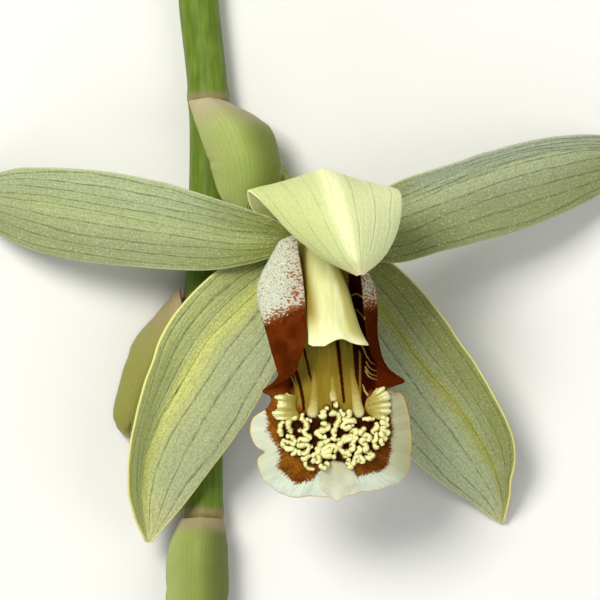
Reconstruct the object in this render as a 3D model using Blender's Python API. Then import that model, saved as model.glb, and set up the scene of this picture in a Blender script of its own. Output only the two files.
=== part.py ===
"""One orchid bloom on a cut length of its hanging spike, laid on its back.

Lengths in the tables are millimetres; MM turns them into Blender's metres.
+Z is up, away from the surface that the bloom rests on, and +Y runs along the
spike towards its cut upper end. Every thin organ is a sheet drawn by a few long
lines, from its foot to its tip, and given a real thickness.
"""
import math

import bmesh
import bpy
import numpy as np

MM = 0.001

# Thicknesses and gaps
SEPAL_THICKNESS = 0.7
PETAL_THICKNESS = 0.65
BRACT_THICKNESS = 0.6
LIP_THICKNESS = 0.7
HOOD_THICKNESS = 0.65

# Axis of the spike: its centre line on the surface, and its round section
SPIKE_RADIUS = 2.0
SPIKE_CENTRE_HEIGHT = 1.9
SPIKE_LINE = [(-10.5, 37.0), (-10.2, 30.0), (-9.2, 20.0), (-9.2, 10.0), (-9.6, 0.0),
              (-9.8, -12.0), (-9.8, -21.8), (-10.0, -37.0)]
NODES_ALONG_SPIKE = (20.4, 0.3, -21.4)
NODE_SWELLING = 0.16
NODE_SPREAD = 0.9
STUB_RADIUS = 0.85

# Pedicel and ovary
PEDICEL_RADIUS = 1.1
OVARY_RADIUS = 1.55
RECEPTACLE_RADIUS = 0.8
OVARY_RIBS = 6
RIB_HEIGHT = 0.13

# Lip: its sheet's steps along and across, its keels, and the colours of its face
LIP_ROWS = 33
LIP_COLUMNS = 21
KEEL_COLUMNS = (8, 10, 12)
KEEL_ROWS = (6, 19)
KEEL_RADIUS = 0.42
KEEL_LIFT = 0.3
BROWN_CENTRE = (3.35, -13.2)
BROWN_REACH = (6.2, 5.0)
MIDDLE_LOBE_START = -9.8
TIP_START = -16.5
TIP_CENTRE = 3.6
TIP_HALF_WIDTH = 1.7
FLOOR_SIDES = (-0.6, 5.6)
FLOOR_TOP = 15.6

# Crest of warts on the lip's middle lobe, in rows along it
CREST_CENTRE = (3.35, -12.7)
CREST_HALF_WIDTH = 5.2
CREST_HALF_LENGTH = 3.8
CREST_ROWS = 9
WARTS_PER_ROW = 8
LEAST_ROW_REACH = 0.4
WART_RADIUS = 0.36
WART_LENGTH = 0.66
WART_HEIGHT = 0.75
WART_LIFT = 0.5
WART_TURN = 0.7
WART_SHIFT = 0.1
WART_SEED = 4

# Column and what its tip holds
COLUMN_AXIS = (0.0, -9.9, 8.7)
WING_THICKNESS = 0.6
WING_INSET = 0.25
ANTHER_SEAT = (3.4, -2.7, 18.5)
CAP_REACH = (0.75, 1.5, 0.42)
CAP_DROP = 1.0
POLLEN_LIFT = 0.0
POLLEN_SPREAD = 0.28
POLLEN_REACH = (0.42, 0.4, 0.28)


def clear_scene():
    for item in list(bpy.data.objects):
        bpy.data.objects.remove(item, do_unlink=True)


def material(name, colour, roughness=0.5):
    """A Principled material of one colour."""
    made = bpy.data.materials.new(name)
    made.use_nodes = True
    shader = made.node_tree.nodes["Principled BSDF"]
    shader.inputs["Base Color"].default_value = (*colour, 1.0)
    shader.inputs["Roughness"].default_value = roughness
    shader.inputs["Metallic"].default_value = 0.0
    return made


def curve(points, count):
    """A smooth curve through evenly spaced points: cubic pieces whose slope at each
    point is half the step between its neighbours."""
    points = np.asarray(points, float)
    last = len(points) - 1
    slopes = np.gradient(points, axis=0)
    place = np.linspace(0.0, last, count)
    index = np.minimum(place.astype(int), last - 1)
    part = (place - index).reshape(-1, *([1] * (points.ndim - 1)))
    start, end = points[index], points[index + 1]
    rise, fall = slopes[index], slopes[index + 1]
    return ((2 * part**3 - 3 * part**2 + 1) * start + (part**3 - 2 * part**2 + part) * rise
            + (3 * part**2 - 2 * part**3) * end + (part**3 - part**2) * fall)


def unit(vectors):
    return vectors / np.linalg.norm(vectors, axis=-1, keepdims=True)


def grid_normals(grid):
    """Upward normals of a surface grid, from the cross product of its two steps."""
    along = np.gradient(grid, axis=0)
    across = np.gradient(grid, axis=1)
    return unit(np.cross(across, along))


def make_object(name, points, faces, materials, slots=None, smooth=True):
    mesh = bpy.data.meshes.new(name)
    mesh.from_pydata((np.asarray(points) * MM).tolist(), [], faces)
    for item in materials:
        mesh.materials.append(item)
    if slots is not None:
        mesh.polygons.foreach_set("material_index", slots)
    made = bpy.data.objects.new(name, mesh)
    bpy.context.collection.objects.link(made)
    if smooth:
        mesh.shade_smooth()
        mesh.set_sharp_from_angle(angle=math.radians(40))
    return made


def sheet_solid(name, grid, thickness, materials, slot_of=None):
    """Close a surface grid into a thin solid that never dips under the surface.

    Both faces are split into triangles alike, so they stay apart where the sheet waves.
    """
    if grid_normals(grid)[..., 2].mean() < 0:
        grid = grid[:, ::-1]
    rows, columns = grid.shape[:2]
    offset = grid_normals(grid) * thickness / 2
    upper, lower = grid + offset, grid - offset
    upper[..., 2] = np.maximum(upper[..., 2], thickness)
    lower[..., 2] = np.maximum(lower[..., 2], 0.0)
    points = np.concatenate([upper.reshape(-1, 3), lower.reshape(-1, 3)])
    under = rows * columns
    faces, slots = [], []
    for r in range(rows - 1):
        for c in range(columns - 1):
            a, b = r * columns + c, r * columns + c + 1
            d, e = a + columns, b + columns
            pairs = [(a, d, b), (b, d, e)] if c < (columns - 1) / 2 else [(a, d, e), (a, e, b)]
            slot = 0 if slot_of is None else slot_of(grid[r, c])
            for x, y, z in pairs:
                faces += [(z, y, x), (x + under, y + under, z + under)]
                slots += [slot, slot]
    rim = ([(0, c) for c in range(columns - 1)]
           + [(r, columns - 1) for r in range(rows - 1)]
           + [(rows - 1, c) for c in range(columns - 1, 0, -1)]
           + [(r, 0) for r in range(rows - 1, 0, -1)])
    ring = [r * columns + c for r, c in rim]
    for first, second in zip(ring, ring[1:] + ring[:1]):
        faces += [(first, second + under, second), (first, first + under, second + under)]
        slots += [0, 0]
    return make_object(name, points, faces, materials, slots)


def organ_grid(left, middle, right, rows, columns, roundness=1.8):
    """A petal, sepal or bract from three long lines.

    Across the organ a point goes straight from the middle line to a margin, and its
    height follows a power of that distance, so the middle stays round.
    """
    left, middle, right = (curve(line, rows)[:, None, :] for line in (left, middle, right))
    across = np.linspace(-1.0, 1.0, columns)[None, :, None]
    reach = np.abs(across)
    margin = np.where(across < 0, left, right)
    flat = middle + (margin - middle) * reach
    height = middle + (margin - middle) * reach**roundness
    return np.concatenate([flat[..., :2], height[..., 2:]], axis=-1)


def tube(name, centre, radius, sides, materials, ribs=0, rib_height=0.0):
    """A closed round bar along a line of centres, each ring square to the line."""
    centre = np.asarray(centre)
    count = len(centre)
    along = unit(np.gradient(centre, axis=0))
    side = unit(np.cross(along, np.array([0.0, 0.0, 1.0])))
    other = np.cross(side, along)
    angle = np.linspace(0.0, 2 * math.pi, sides, endpoint=False)
    reach = np.asarray(radius).reshape(-1, 1) + rib_height * np.cos(ribs * angle)[None, :]
    rings = (centre[:, None, :] + reach[..., None]
             * (np.cos(angle)[None, :, None] * side[:, None, :]
                + np.sin(angle)[None, :, None] * other[:, None, :]))
    rings[..., 2] = np.maximum(rings[..., 2], 0.0)
    faces = []
    for r in range(count - 1):
        for c in range(sides):
            a, b = r * sides + c, r * sides + (c + 1) % sides
            faces.append((a, a + sides, b + sides, b))
    faces.append(tuple(range(sides)))
    faces.append(tuple(range(count * sides - 1, (count - 1) * sides - 1, -1)))
    return make_object(name, rings.reshape(-1, 3), faces, materials)


def join_solids(target, extras, solver="EXACT"):
    """Fuse overlapping solids into one body and remove the loose ones."""
    bunch = bpy.data.collections.new(target.name + "_extras")
    for item in extras:
        bunch.objects.link(item)
    union = target.modifiers.new("fuse", "BOOLEAN")
    union.operation = "UNION"
    union.operand_type = "COLLECTION"
    union.collection = bunch
    union.solver = solver
    bpy.context.view_layer.update()
    fused = bpy.data.meshes.new_from_object(
        target.evaluated_get(bpy.context.evaluated_depsgraph_get()))
    target.modifiers.clear()
    target.data = fused
    for item in extras:
        bpy.data.objects.remove(item, do_unlink=True)
    bpy.data.collections.remove(bunch)


def build_rachis():
    """The spike's axis, a little swollen at each node, with two cut stubs."""
    green = material("spike green", (0.17, 0.26, 0.05), 0.45)
    centre = curve([(x, y, SPIKE_CENTRE_HEIGHT) for x, y in SPIKE_LINE], 30)
    swelling = sum(np.exp(-((centre[:, 1] - node) / NODE_SPREAD) ** 2)
                   for node in NODES_ALONG_SPIKE)
    axis = tube("rachis", centre, SPIKE_RADIUS + NODE_SWELLING * swelling, 20, [green])
    left_stub = curve([(-10.4, 0.0, 1.4), (-11.9, -0.8, 1.3), (-12.9, -2.2, 1.2)], 6)
    lower_stub = curve([(-9.9, -20.5, 2.4), (-10.0, -23.6, 3.9), (-10.1, -27.0, 4.3)], 6)
    stubs = [tube("stub", line, np.full(len(line), STUB_RADIUS), 10, [green])
             for line in (left_stub, lower_stub)]
    join_solids(axis, stubs)
    return axis


def build_bracts():
    olive = (0.36, 0.42, 0.13)
    bract_flower = dict(
        left=[(-11.2, 20.0, 3.9), (-10.3, 17.2, 4.9), (-9.3, 14.6, 5.1), (-8.6, 12.0, 5.2),
              (-7.6, 9.9, 5.5), (-5.9, 8.3, 6.0)],
        middle=[(-9.2, 20.2, 4.95), (-6.7, 17.7, 7.3), (-5.5, 14.9, 7.9), (-5.1, 12.2, 7.5),
                (-5.2, 10.1, 6.8), (-5.5, 8.2, 6.1)],
        right=[(-7.1, 19.8, 3.6), (-3.2, 17.5, 3.9), (-2.1, 14.5, 4.8), (-2.0, 12.0, 5.7),
               (-3.3, 9.7, 6.0), (-5.1, 8.3, 6.0)])
    bract_left = dict(
        left=[(-12.1, 1.2, 2.9), (-14.4, -1.3, 0.5), (-16.9, -4.6, 0.4), (-18.4, -9.2, 0.4),
              (-18.7, -12.2, 0.8), (-17.6, -13.8, 1.4)],
        middle=[(-11.9, -0.2, 4.1), (-13.3, -3.0, 4.2), (-14.9, -6.2, 4.2), (-16.2, -9.6, 3.6),
                (-17.0, -12.2, 2.5), (-17.3, -13.9, 1.5)],
        right=[(-12.2, -1.9, 3.0), (-12.2, -4.6, 0.5), (-12.9, -7.8, 0.4), (-14.2, -11.0, 0.4),
               (-15.6, -13.0, 0.8), (-17.0, -14.0, 1.4)])
    bract_lower = dict(
        left=[(-11.9, -22.0, 3.9), (-13.2, -24.8, 2.4), (-13.4, -28.0, 2.3),
              (-13.4, -31.5, 2.8), (-12.3, -34.6, 3.9), (-10.5, -36.6, 5.0)],
        middle=[(-9.8, -21.9, 5.1), (-10.1, -24.7, 6.6), (-10.2, -28.0, 6.9),
                (-10.2, -31.2, 6.6), (-10.2, -34.4, 5.9), (-10.2, -36.7, 5.1)],
        right=[(-7.7, -22.0, 3.9), (-7.3, -24.8, 2.9), (-7.25, -28.0, 2.8),
               (-7.35, -31.5, 3.1), (-8.1, -34.6, 3.9), (-9.9, -36.6, 5.0)])
    for name, lines in (("bract_flower", bract_flower), ("bract_left", bract_left),
                        ("bract_lower", bract_lower)):
        grid = organ_grid(lines["left"], lines["middle"], lines["right"], 13, 9)
        sheet_solid(name, grid, BRACT_THICKNESS, [material(name + " olive", olive, 0.5)])


def build_ovary():
    """Pedicel and ribbed ovary, ending in a narrow receptacle between the organs."""
    green = material("ovary green", (0.42, 0.46, 0.16), 0.5)
    line = [(-5.9, 18.1, 2.2), (-4.1, 15.2, 2.7), (-2.3, 12.2, 3.1), (-0.5, 9.3, 4.1),
            (0.9, 6.9, 6.0), (1.3, 5.8, 8.0), (1.3, 5.4, 9.7)]
    centre = curve(line, 21)
    radius = curve([[PEDICEL_RADIUS], [PEDICEL_RADIUS], [PEDICEL_RADIUS + 0.1],
                    [OVARY_RADIUS - 0.1], [OVARY_RADIUS], [OVARY_RADIUS - 0.25],
                    [RECEPTACLE_RADIUS]], 21)[:, 0]
    tube("ovary", centre, radius, 18, [green], OVARY_RIBS, RIB_HEIGHT)


def build_tepals():
    """Hood, petals and lateral sepals, each by its two margins and its midrib."""
    pale = (0.62, 0.68, 0.30)
    olive = (0.36, 0.40, 0.17)
    dorsal_sepal = dict(
        left=[(0.0, 7.4, 9.6), (-2.4, 8.2, 11.9), (-4.6, 8.9, 14.2), (-5.2, 10.1, 16.8),
              (-4.3, 10.5, 18.9), (-2.5, 8.9, 20.4), (-0.7, 6.6, 21.4), (2.2, 4.1, 22.6),
              (5.6, 2.5, 23.6)],
        middle=[(1.3, 7.7, 9.4), (1.5, 9.8, 11.8), (1.9, 11.7, 14.8), (2.3, 12.75, 18.0),
                (2.8, 11.8, 21.2), (3.5, 9.6, 23.7), (4.2, 7.2, 24.8), (5.0, 4.6, 24.9),
                (5.9, 2.5, 23.9)],
        right=[(2.6, 7.4, 9.6), (5.4, 8.9, 12.3), (8.2, 10.0, 14.6), (9.4, 10.9, 17.2),
               (10.0, 10.1, 19.6), (9.9, 8.2, 20.8), (9.3, 6.2, 21.4), (8.0, 4.0, 22.4),
               (6.2, 2.5, 23.6)])
    petal_left = dict(
        left=[(-0.5, 6.7, 10.0), (-2.9, 8.2, 10.2), (-6.3, 9.4, 10.1), (-10.4, 10.8, 9.3),
              (-15.0, 12.0, 8.2), (-20.0, 12.9, 6.9), (-25.5, 13.3, 5.2), (-30.0, 12.9, 3.2),
              (-34.0, 11.0, 0.7)],
        middle=[(-0.5, 6.0, 9.95), (-3.4, 6.1, 9.7), (-7.0, 6.4, 8.9), (-11.4, 7.1, 8.0),
                (-16.0, 8.0, 7.0), (-21.0, 8.9, 5.8), (-26.0, 9.8, 4.1), (-30.3, 10.4, 2.2),
                (-34.1, 10.7, 0.35)],
        right=[(-0.5, 5.2, 9.95), (-3.6, 4.0, 9.9), (-7.8, 3.1, 9.6), (-12.6, 3.0, 9.1),
               (-17.6, 3.4, 7.6), (-22.7, 4.0, 6.2), (-27.4, 5.2, 4.6), (-31.0, 7.1, 2.6),
               (-34.0, 10.3, 0.6)])
    petal_right = dict(
        left=[(3.1, 5.2, 9.95), (6.0, 4.1, 9.9), (9.8, 3.7, 9.6), (14.0, 4.8, 9.0),
              (18.2, 5.9, 8.0), (22.6, 7.2, 6.6), (27.0, 9.0, 4.7), (31.0, 11.1, 2.6),
              (34.0, 13.6, 0.6)],
        middle=[(3.1, 6.0, 9.95), (6.2, 7.6, 9.9), (9.8, 9.1, 9.3), (13.4, 10.7, 8.5),
                (17.5, 12.3, 7.4), (22.0, 13.8, 5.9), (26.6, 14.8, 4.1), (30.6, 15.1, 2.1),
                (34.1, 14.2, 0.35)],
        right=[(3.0, 6.7, 10.0), (5.8, 9.3, 10.1), (9.4, 11.6, 9.9), (13.1, 13.0, 9.3),
               (17.2, 14.3, 8.2), (21.7, 15.6, 6.7), (26.4, 16.5, 4.8), (30.6, 16.5, 2.7),
               (34.0, 14.7, 0.6)])
    lateral_sepal_left = dict(
        left=[(0.8, 3.9, 8.9), (0.9, 0.6, 8.9), (-0.7, -3.6, 8.8), (-3.1, -8.2, 8.4),
              (-5.9, -12.9, 7.6), (-9.1, -17.2, 6.4), (-12.0, -21.0, 5.2), (-14.9, -24.3, 4.2)],
        middle=[(-0.1, 4.5, 8.7), (-2.9, 2.0, 8.1), (-6.0, -0.8, 7.5), (-9.4, -4.3, 7.1),
                (-12.3, -9.0, 6.6), (-14.9, -13.6, 6.0), (-15.9, -18.8, 5.0),
                (-15.3, -24.4, 4.0)],
        right=[(-0.9, 5.2, 8.8), (-5.0, 4.6, 8.4), (-9.1, 2.3, 8.6), (-13.1, -2.4, 9.6),
               (-15.5, -8.2, 9.8), (-16.9, -14.2, 9.3), (-17.0, -20.2, 7.4),
               (-15.6, -24.2, 4.4)])
    lateral_sepal_right = dict(
        left=[(3.5, 5.2, 8.8), (7.2, 4.9, 8.5), (11.0, 2.2, 8.4), (15.3, -3.1, 8.3),
              (19.0, -8.7, 7.4), (21.4, -14.2, 5.6), (21.2, -19.2, 3.0), (20.6, -22.4, 0.7)],
        middle=[(2.7, 4.5, 8.7), (5.4, 2.3, 8.2), (8.4, -1.2, 7.6), (12.1, -6.3, 6.6),
                (16.0, -10.9, 5.4), (19.0, -15.8, 3.6), (20.4, -19.6, 1.6),
                (20.4, -22.5, 0.35)],
        right=[(1.8, 3.9, 8.9), (1.6, 1.0, 8.6), (3.6, -4.2, 8.0), (6.4, -10.0, 6.8),
               (10.2, -14.9, 5.0), (14.2, -18.4, 3.0), (17.8, -20.8, 1.2),
               (20.1, -22.5, 0.4)])
    hood = organ_grid(dorsal_sepal["left"], dorsal_sepal["middle"], dorsal_sepal["right"],
                      27, 11)
    sheet_solid("dorsal_sepal", hood, HOOD_THICKNESS,
                [material("hood cream", pale, 0.45)])
    for name, lines, thickness in (
            ("petal_left", petal_left, PETAL_THICKNESS),
            ("petal_right", petal_right, PETAL_THICKNESS),
            ("lateral_sepal_left", lateral_sepal_left, SEPAL_THICKNESS),
            ("lateral_sepal_right", lateral_sepal_right, SEPAL_THICKNESS)):
        grid = organ_grid(lines["left"], lines["middle"], lines["right"], 21, 9)
        sheet_solid(name, grid, thickness, [material(name + " olive", olive, 0.5)])


def lip_grid(rows, columns):
    """The lip from seven long lines, foot to front edge, and a smooth curve across them."""
    rim_left = [(-1.0, 6.4, 14.0), (-0.8, 4.7, 15.0), (-0.35, 2.2, 16.4), (-0.1, -0.9, 17.9),
                (0.1, -3.6, 18.4), (-0.4, -6.0, 18.2), (-3.1, -8.9, 16.6), (-2.9, -10.0, 15.4),
                (-4.7, -12.2, 14.6), (-4.6, -14.0, 14.2), (-3.8, -15.3, 13.9),
                (-3.9, -17.4, 13.0), (-2.4, -18.8, 12.4)]
    wall_left = [(-2.0, 5.6, 12.2), (-4.0, 1.2, 13.4), (-2.8, -3.7, 16.0), (-1.9, -8.0, 16.3),
                 (-2.3, -12.0, 15.1), (-2.0, -15.8, 14.4), (-0.6, -19.2, 12.9)]
    floor_left = [(-0.7, 4.4, 11.1), (-2.2, 0.4, 12.0), (-1.9, -4.4, 14.5), (-0.8, -8.8, 15.4),
                  (0.3, -12.3, 15.3), (0.6, -16.1, 14.8), (1.5, -19.3, 13.4)]
    spine = [(1.2, 4.0, 10.6), (1.8, -0.2, 12.0), (2.6, -4.8, 14.6), (2.9, -9.2, 15.4),
             (3.2, -12.6, 15.4), (3.5, -16.4, 14.9), (3.85, -19.9, 13.4)]
    floor_right = [(3.0, 4.3, 11.1), (5.0, 0.4, 12.1), (5.8, -4.4, 14.6), (6.4, -8.7, 15.4),
                   (6.2, -12.2, 15.3), (6.2, -16.0, 14.8), (6.1, -18.95, 13.4)]
    wall_right = [(4.2, 5.3, 12.2), (7.2, 1.2, 13.8), (7.5, -3.6, 16.0), (8.3, -7.6, 16.2),
                  (8.6, -11.8, 15.0), (8.5, -15.6, 14.2), (7.8, -18.8, 12.9)]
    rim_right = [(3.6, 6.3, 13.6), (5.4, 4.6, 14.8), (6.2, 2.4, 16.2), (6.4, -0.9, 17.5),
                 (6.8, -3.6, 18.2), (7.5, -5.8, 17.6), (10.1, -8.1, 16.6), (9.1, -9.6, 15.2),
                 (10.8, -11.7, 14.4), (11.1, -13.4, 14.0), (10.9, -15.5, 13.4),
                 (10.3, -17.3, 12.7), (9.1, -18.5, 12.4)]
    lines = [curve(line, rows) for line in
             (rim_left, wall_left, floor_left, spine, floor_right, wall_right, rim_right)]
    return curve(np.stack(lines), columns).transpose(1, 0, 2)


def surface_height(grid, x, y):
    """Height of the grid's nearest point seen from above."""
    flat = grid.reshape(-1, 3)
    nearest = np.argmin((flat[:, 0] - x) ** 2 + (flat[:, 1] - y) ** 2)
    return flat[nearest, 2]


def wart(place, height, heading, materials):
    """One knob of the crest: a few-sided ball drawn out along its heading."""
    bm = bmesh.new()
    bmesh.ops.create_icosphere(bm, subdivisions=1, radius=1.0)
    ball = np.array([vert.co[:] for vert in bm.verts])
    faces = [[vert.index for vert in face.verts] for face in bm.faces]
    bm.free()
    x, y, z = (ball * (WART_LENGTH, WART_RADIUS, WART_HEIGHT)).T
    cos, sin = math.cos(heading), math.sin(heading)
    points = np.column_stack([place[0] + x * cos - y * sin, place[1] + x * sin + y * cos,
                              height + z])
    return make_object("wart", points, faces, materials)


def build_crest(grid, materials):
    """Warts in rows that follow an oval, each turned the other way from the last."""
    rng = np.random.default_rng(WART_SEED)
    warts = []
    for across in np.linspace(-1.0, 1.0, CREST_ROWS):
        reach = max(LEAST_ROW_REACH, math.sqrt(1.0 - across**2))
        for step, along in enumerate(np.linspace(-1.0, 1.0, WARTS_PER_ROW)):
            if abs(along) > reach:
                continue
            shift_x, shift_y = rng.uniform(-WART_SHIFT, WART_SHIFT, 2)
            x = CREST_CENTRE[0] + across * CREST_HALF_WIDTH + shift_x
            y = CREST_CENTRE[1] + along * CREST_HALF_LENGTH + shift_y
            heading = WART_TURN if step % 2 else -WART_TURN
            warts.append(wart((x, y), surface_height(grid, x, y) + WART_LIFT, heading,
                              materials))
    return warts


def lip_colour(point):
    """Slot of the lip's sheet at a point: brown, white or ochre."""
    x, y, z = point
    off_brown = math.hypot((x - BROWN_CENTRE[0]) / BROWN_REACH[0],
                           (y - BROWN_CENTRE[1]) / BROWN_REACH[1])
    on_tip = y < TIP_START and abs(x - TIP_CENTRE) < TIP_HALF_WIDTH
    if y < MIDDLE_LOBE_START:
        return 1 if off_brown > 1.0 or on_tip else 0
    return 2 if FLOOR_SIDES[0] < x < FLOOR_SIDES[1] and z < FLOOR_TOP else 0


def build_lip():
    """Side lobes, floor and middle lobe in one sheet, with its keels and warts fused on."""
    brown = material("lip brown", (0.15, 0.035, 0.008), 0.45)
    white = material("lip white", (0.68, 0.70, 0.66), 0.55)
    ochre = material("lip ochre", (0.42, 0.33, 0.06), 0.5)
    cream = material("crest cream", (0.78, 0.72, 0.33), 0.45)
    palette = [brown, white, ochre, cream]
    grid = lip_grid(LIP_ROWS, LIP_COLUMNS)
    lip = sheet_solid("lip", grid, LIP_THICKNESS, palette, lip_colour)
    raised = build_crest(grid, palette)
    for column in KEEL_COLUMNS:
        line = grid[KEEL_ROWS[0]:KEEL_ROWS[1], column] + np.array([0.0, 0.0, KEEL_LIFT])
        raised.append(tube("keel", line, np.full(len(line), KEEL_RADIUS), 8, palette))
    for item in raised:
        item.data.polygons.foreach_set("material_index", [3] * len(item.data.polygons))
    join_solids(lip, raised, "MANIFOLD")


def column_frame():
    """The column's own directions: along its axis, to its right, and out of its back."""
    along = unit(np.array(COLUMN_AXIS))
    lateral = unit(np.cross(np.array([0.0, 0.0, 1.0]), along))
    return along, lateral, np.cross(along, lateral)


def build_column():
    """A rod, round on its back, whose tip opens under into a winged hood.

    Each station is its centre, half width, height of the back over the centre, depth of
    the belly under the wings (below zero where it is hollow), and how far the back's
    middle leans forward past the wings.
    """
    cream = material("column cream", (0.82, 0.78, 0.42), 0.4)
    along, lateral, dorsal = column_frame()
    stations = curve([
        (1.2, 5.9, 11.4, 1.3, 0.9, 0.35, 0.0),
        (1.75, 3.6, 13.2, 1.85, 1.3, 0.6, 0.0),
        (2.5, 1.1, 15.4, 2.2, 1.4, 0.5, 0.0),
        (3.05, -1.3, 17.4, 2.4, 1.6, -0.9, 0.2),
        (3.4, -3.0, 18.9, 2.6, 1.8, -1.4, 0.5),
        (3.8, -4.25, 19.9, 2.95, 1.9, -1.6, 0.6)], 17)
    sides = 13
    sweep = np.linspace(0.0, math.pi, sides)
    rings = []
    for *centre, half_width, back, belly, lean in stations:
        upper = (np.array(centre) + np.outer(half_width * np.cos(sweep), lateral)
                 + np.outer(back * np.sin(sweep), dorsal)
                 + np.outer(lean * np.sin(sweep), along))
        lower = (np.array(centre)
                 - np.outer((half_width - WING_INSET) * np.cos(sweep), lateral)
                 - np.outer(WING_THICKNESS + belly * np.sin(sweep), dorsal)
                 + np.outer(lean * np.sin(sweep), along))
        rings.append(np.concatenate([upper, lower]))
    rings = np.array(rings)
    size = 2 * sides
    faces = []
    for r in range(len(rings) - 1):
        for c in range(size):
            a, b = r * size + c, r * size + (c + 1) % size
            faces.append((a, b, b + size, a + size))
    for first, flip in ((0, True), ((len(rings) - 1) * size, False)):
        for c in range(sides - 1):
            quad = (first + c, first + c + 1, first + size - 2 - c, first + size - 1 - c)
            faces.append(quad[::-1] if flip else quad)
    make_object("column", rings.reshape(-1, 3), faces, [cream])


def ellipsoid(name, centre, reach, directions, materials, segments=14, rings=8):
    """A closed ellipsoid with its three reaches along the given directions."""
    bm = bmesh.new()
    bmesh.ops.create_uvsphere(bm, u_segments=segments, v_segments=rings, radius=1.0)
    bm.verts.ensure_lookup_table()
    ball = np.array([vert.co[:] for vert in bm.verts])
    faces = [[vert.index for vert in face.verts] for face in bm.faces]
    bm.free()
    axes = np.array([directions[i] * reach[i] for i in range(3)])
    points = np.array(centre) + ball @ axes
    return make_object(name, points, faces, materials)


def build_anther():
    """The cap under the hood, and the four waxy pollen masses between cap and column."""
    yellow = material("anther yellow", (0.80, 0.68, 0.25), 0.5)
    waxy = material("pollen yellow", (0.85, 0.62, 0.08), 0.35)
    along, lateral, dorsal = column_frame()
    directions = (along, lateral, dorsal)
    seat = np.array(ANTHER_SEAT)
    ellipsoid("anther_cap", seat - CAP_DROP * dorsal, CAP_REACH, directions, [yellow])
    masses = [ellipsoid("pollinia" if side < 0 and depth < 0 else "mass",
                        seat + POLLEN_SPREAD * (side * lateral + depth * along)
                        + POLLEN_LIFT * dorsal,
                        POLLEN_REACH, directions, [waxy], 10, 6)
              for side in (-1, 1) for depth in (-1, 1)]
    join_solids(masses[0], masses[1:])


clear_scene()
build_rachis()
build_bracts()
build_ovary()
build_tepals()
build_lip()
build_column()
build_anther()
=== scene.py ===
# One open orchid bloom on a cut length of its spike, lying on its back on a pale table.
# Tables are in millimetres: x to the right, y up the spike, z towards the camera.
import math

import bpy
import numpy as np
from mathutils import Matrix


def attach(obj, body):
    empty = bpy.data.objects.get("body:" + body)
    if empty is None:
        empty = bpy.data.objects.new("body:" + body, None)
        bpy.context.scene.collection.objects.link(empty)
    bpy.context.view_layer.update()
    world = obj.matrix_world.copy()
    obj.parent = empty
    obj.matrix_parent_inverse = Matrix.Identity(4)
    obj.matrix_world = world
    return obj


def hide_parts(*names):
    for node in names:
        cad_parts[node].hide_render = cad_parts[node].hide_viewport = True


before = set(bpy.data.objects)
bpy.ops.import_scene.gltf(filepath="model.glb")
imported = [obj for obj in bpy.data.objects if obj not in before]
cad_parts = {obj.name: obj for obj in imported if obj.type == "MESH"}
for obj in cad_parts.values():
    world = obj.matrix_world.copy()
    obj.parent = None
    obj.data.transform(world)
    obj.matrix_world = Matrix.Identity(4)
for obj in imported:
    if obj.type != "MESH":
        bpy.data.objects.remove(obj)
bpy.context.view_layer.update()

mm = 0.001
# heights of the camera and of the plane on which the tables of the lip are measured
cameraHeight, sharpPlane = 808.0, 8.0
# the lowest that a piece's under side and a sheet's upper side may lie
lowest, lowestTop = 0.02, 0.15


# shader maths

class Value:
    # a number that changes over a surface; each operator adds its Math node
    def __init__(self, paint, socket):
        self.paint = paint
        self.socket = socket

    def math(self, operation, *others):
        return self.paint.math(operation, self, *others)

    def __add__(self, other):
        return self.math("ADD", other)

    def __sub__(self, other):
        return self.math("SUBTRACT", other)

    def __rsub__(self, other):
        return self.paint.math("SUBTRACT", other, self)

    def __mul__(self, other):
        return self.math("MULTIPLY", other)

    def __abs__(self):
        return self.math("ABSOLUTE")

    __radd__ = __add__
    __rmul__ = __mul__


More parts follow.
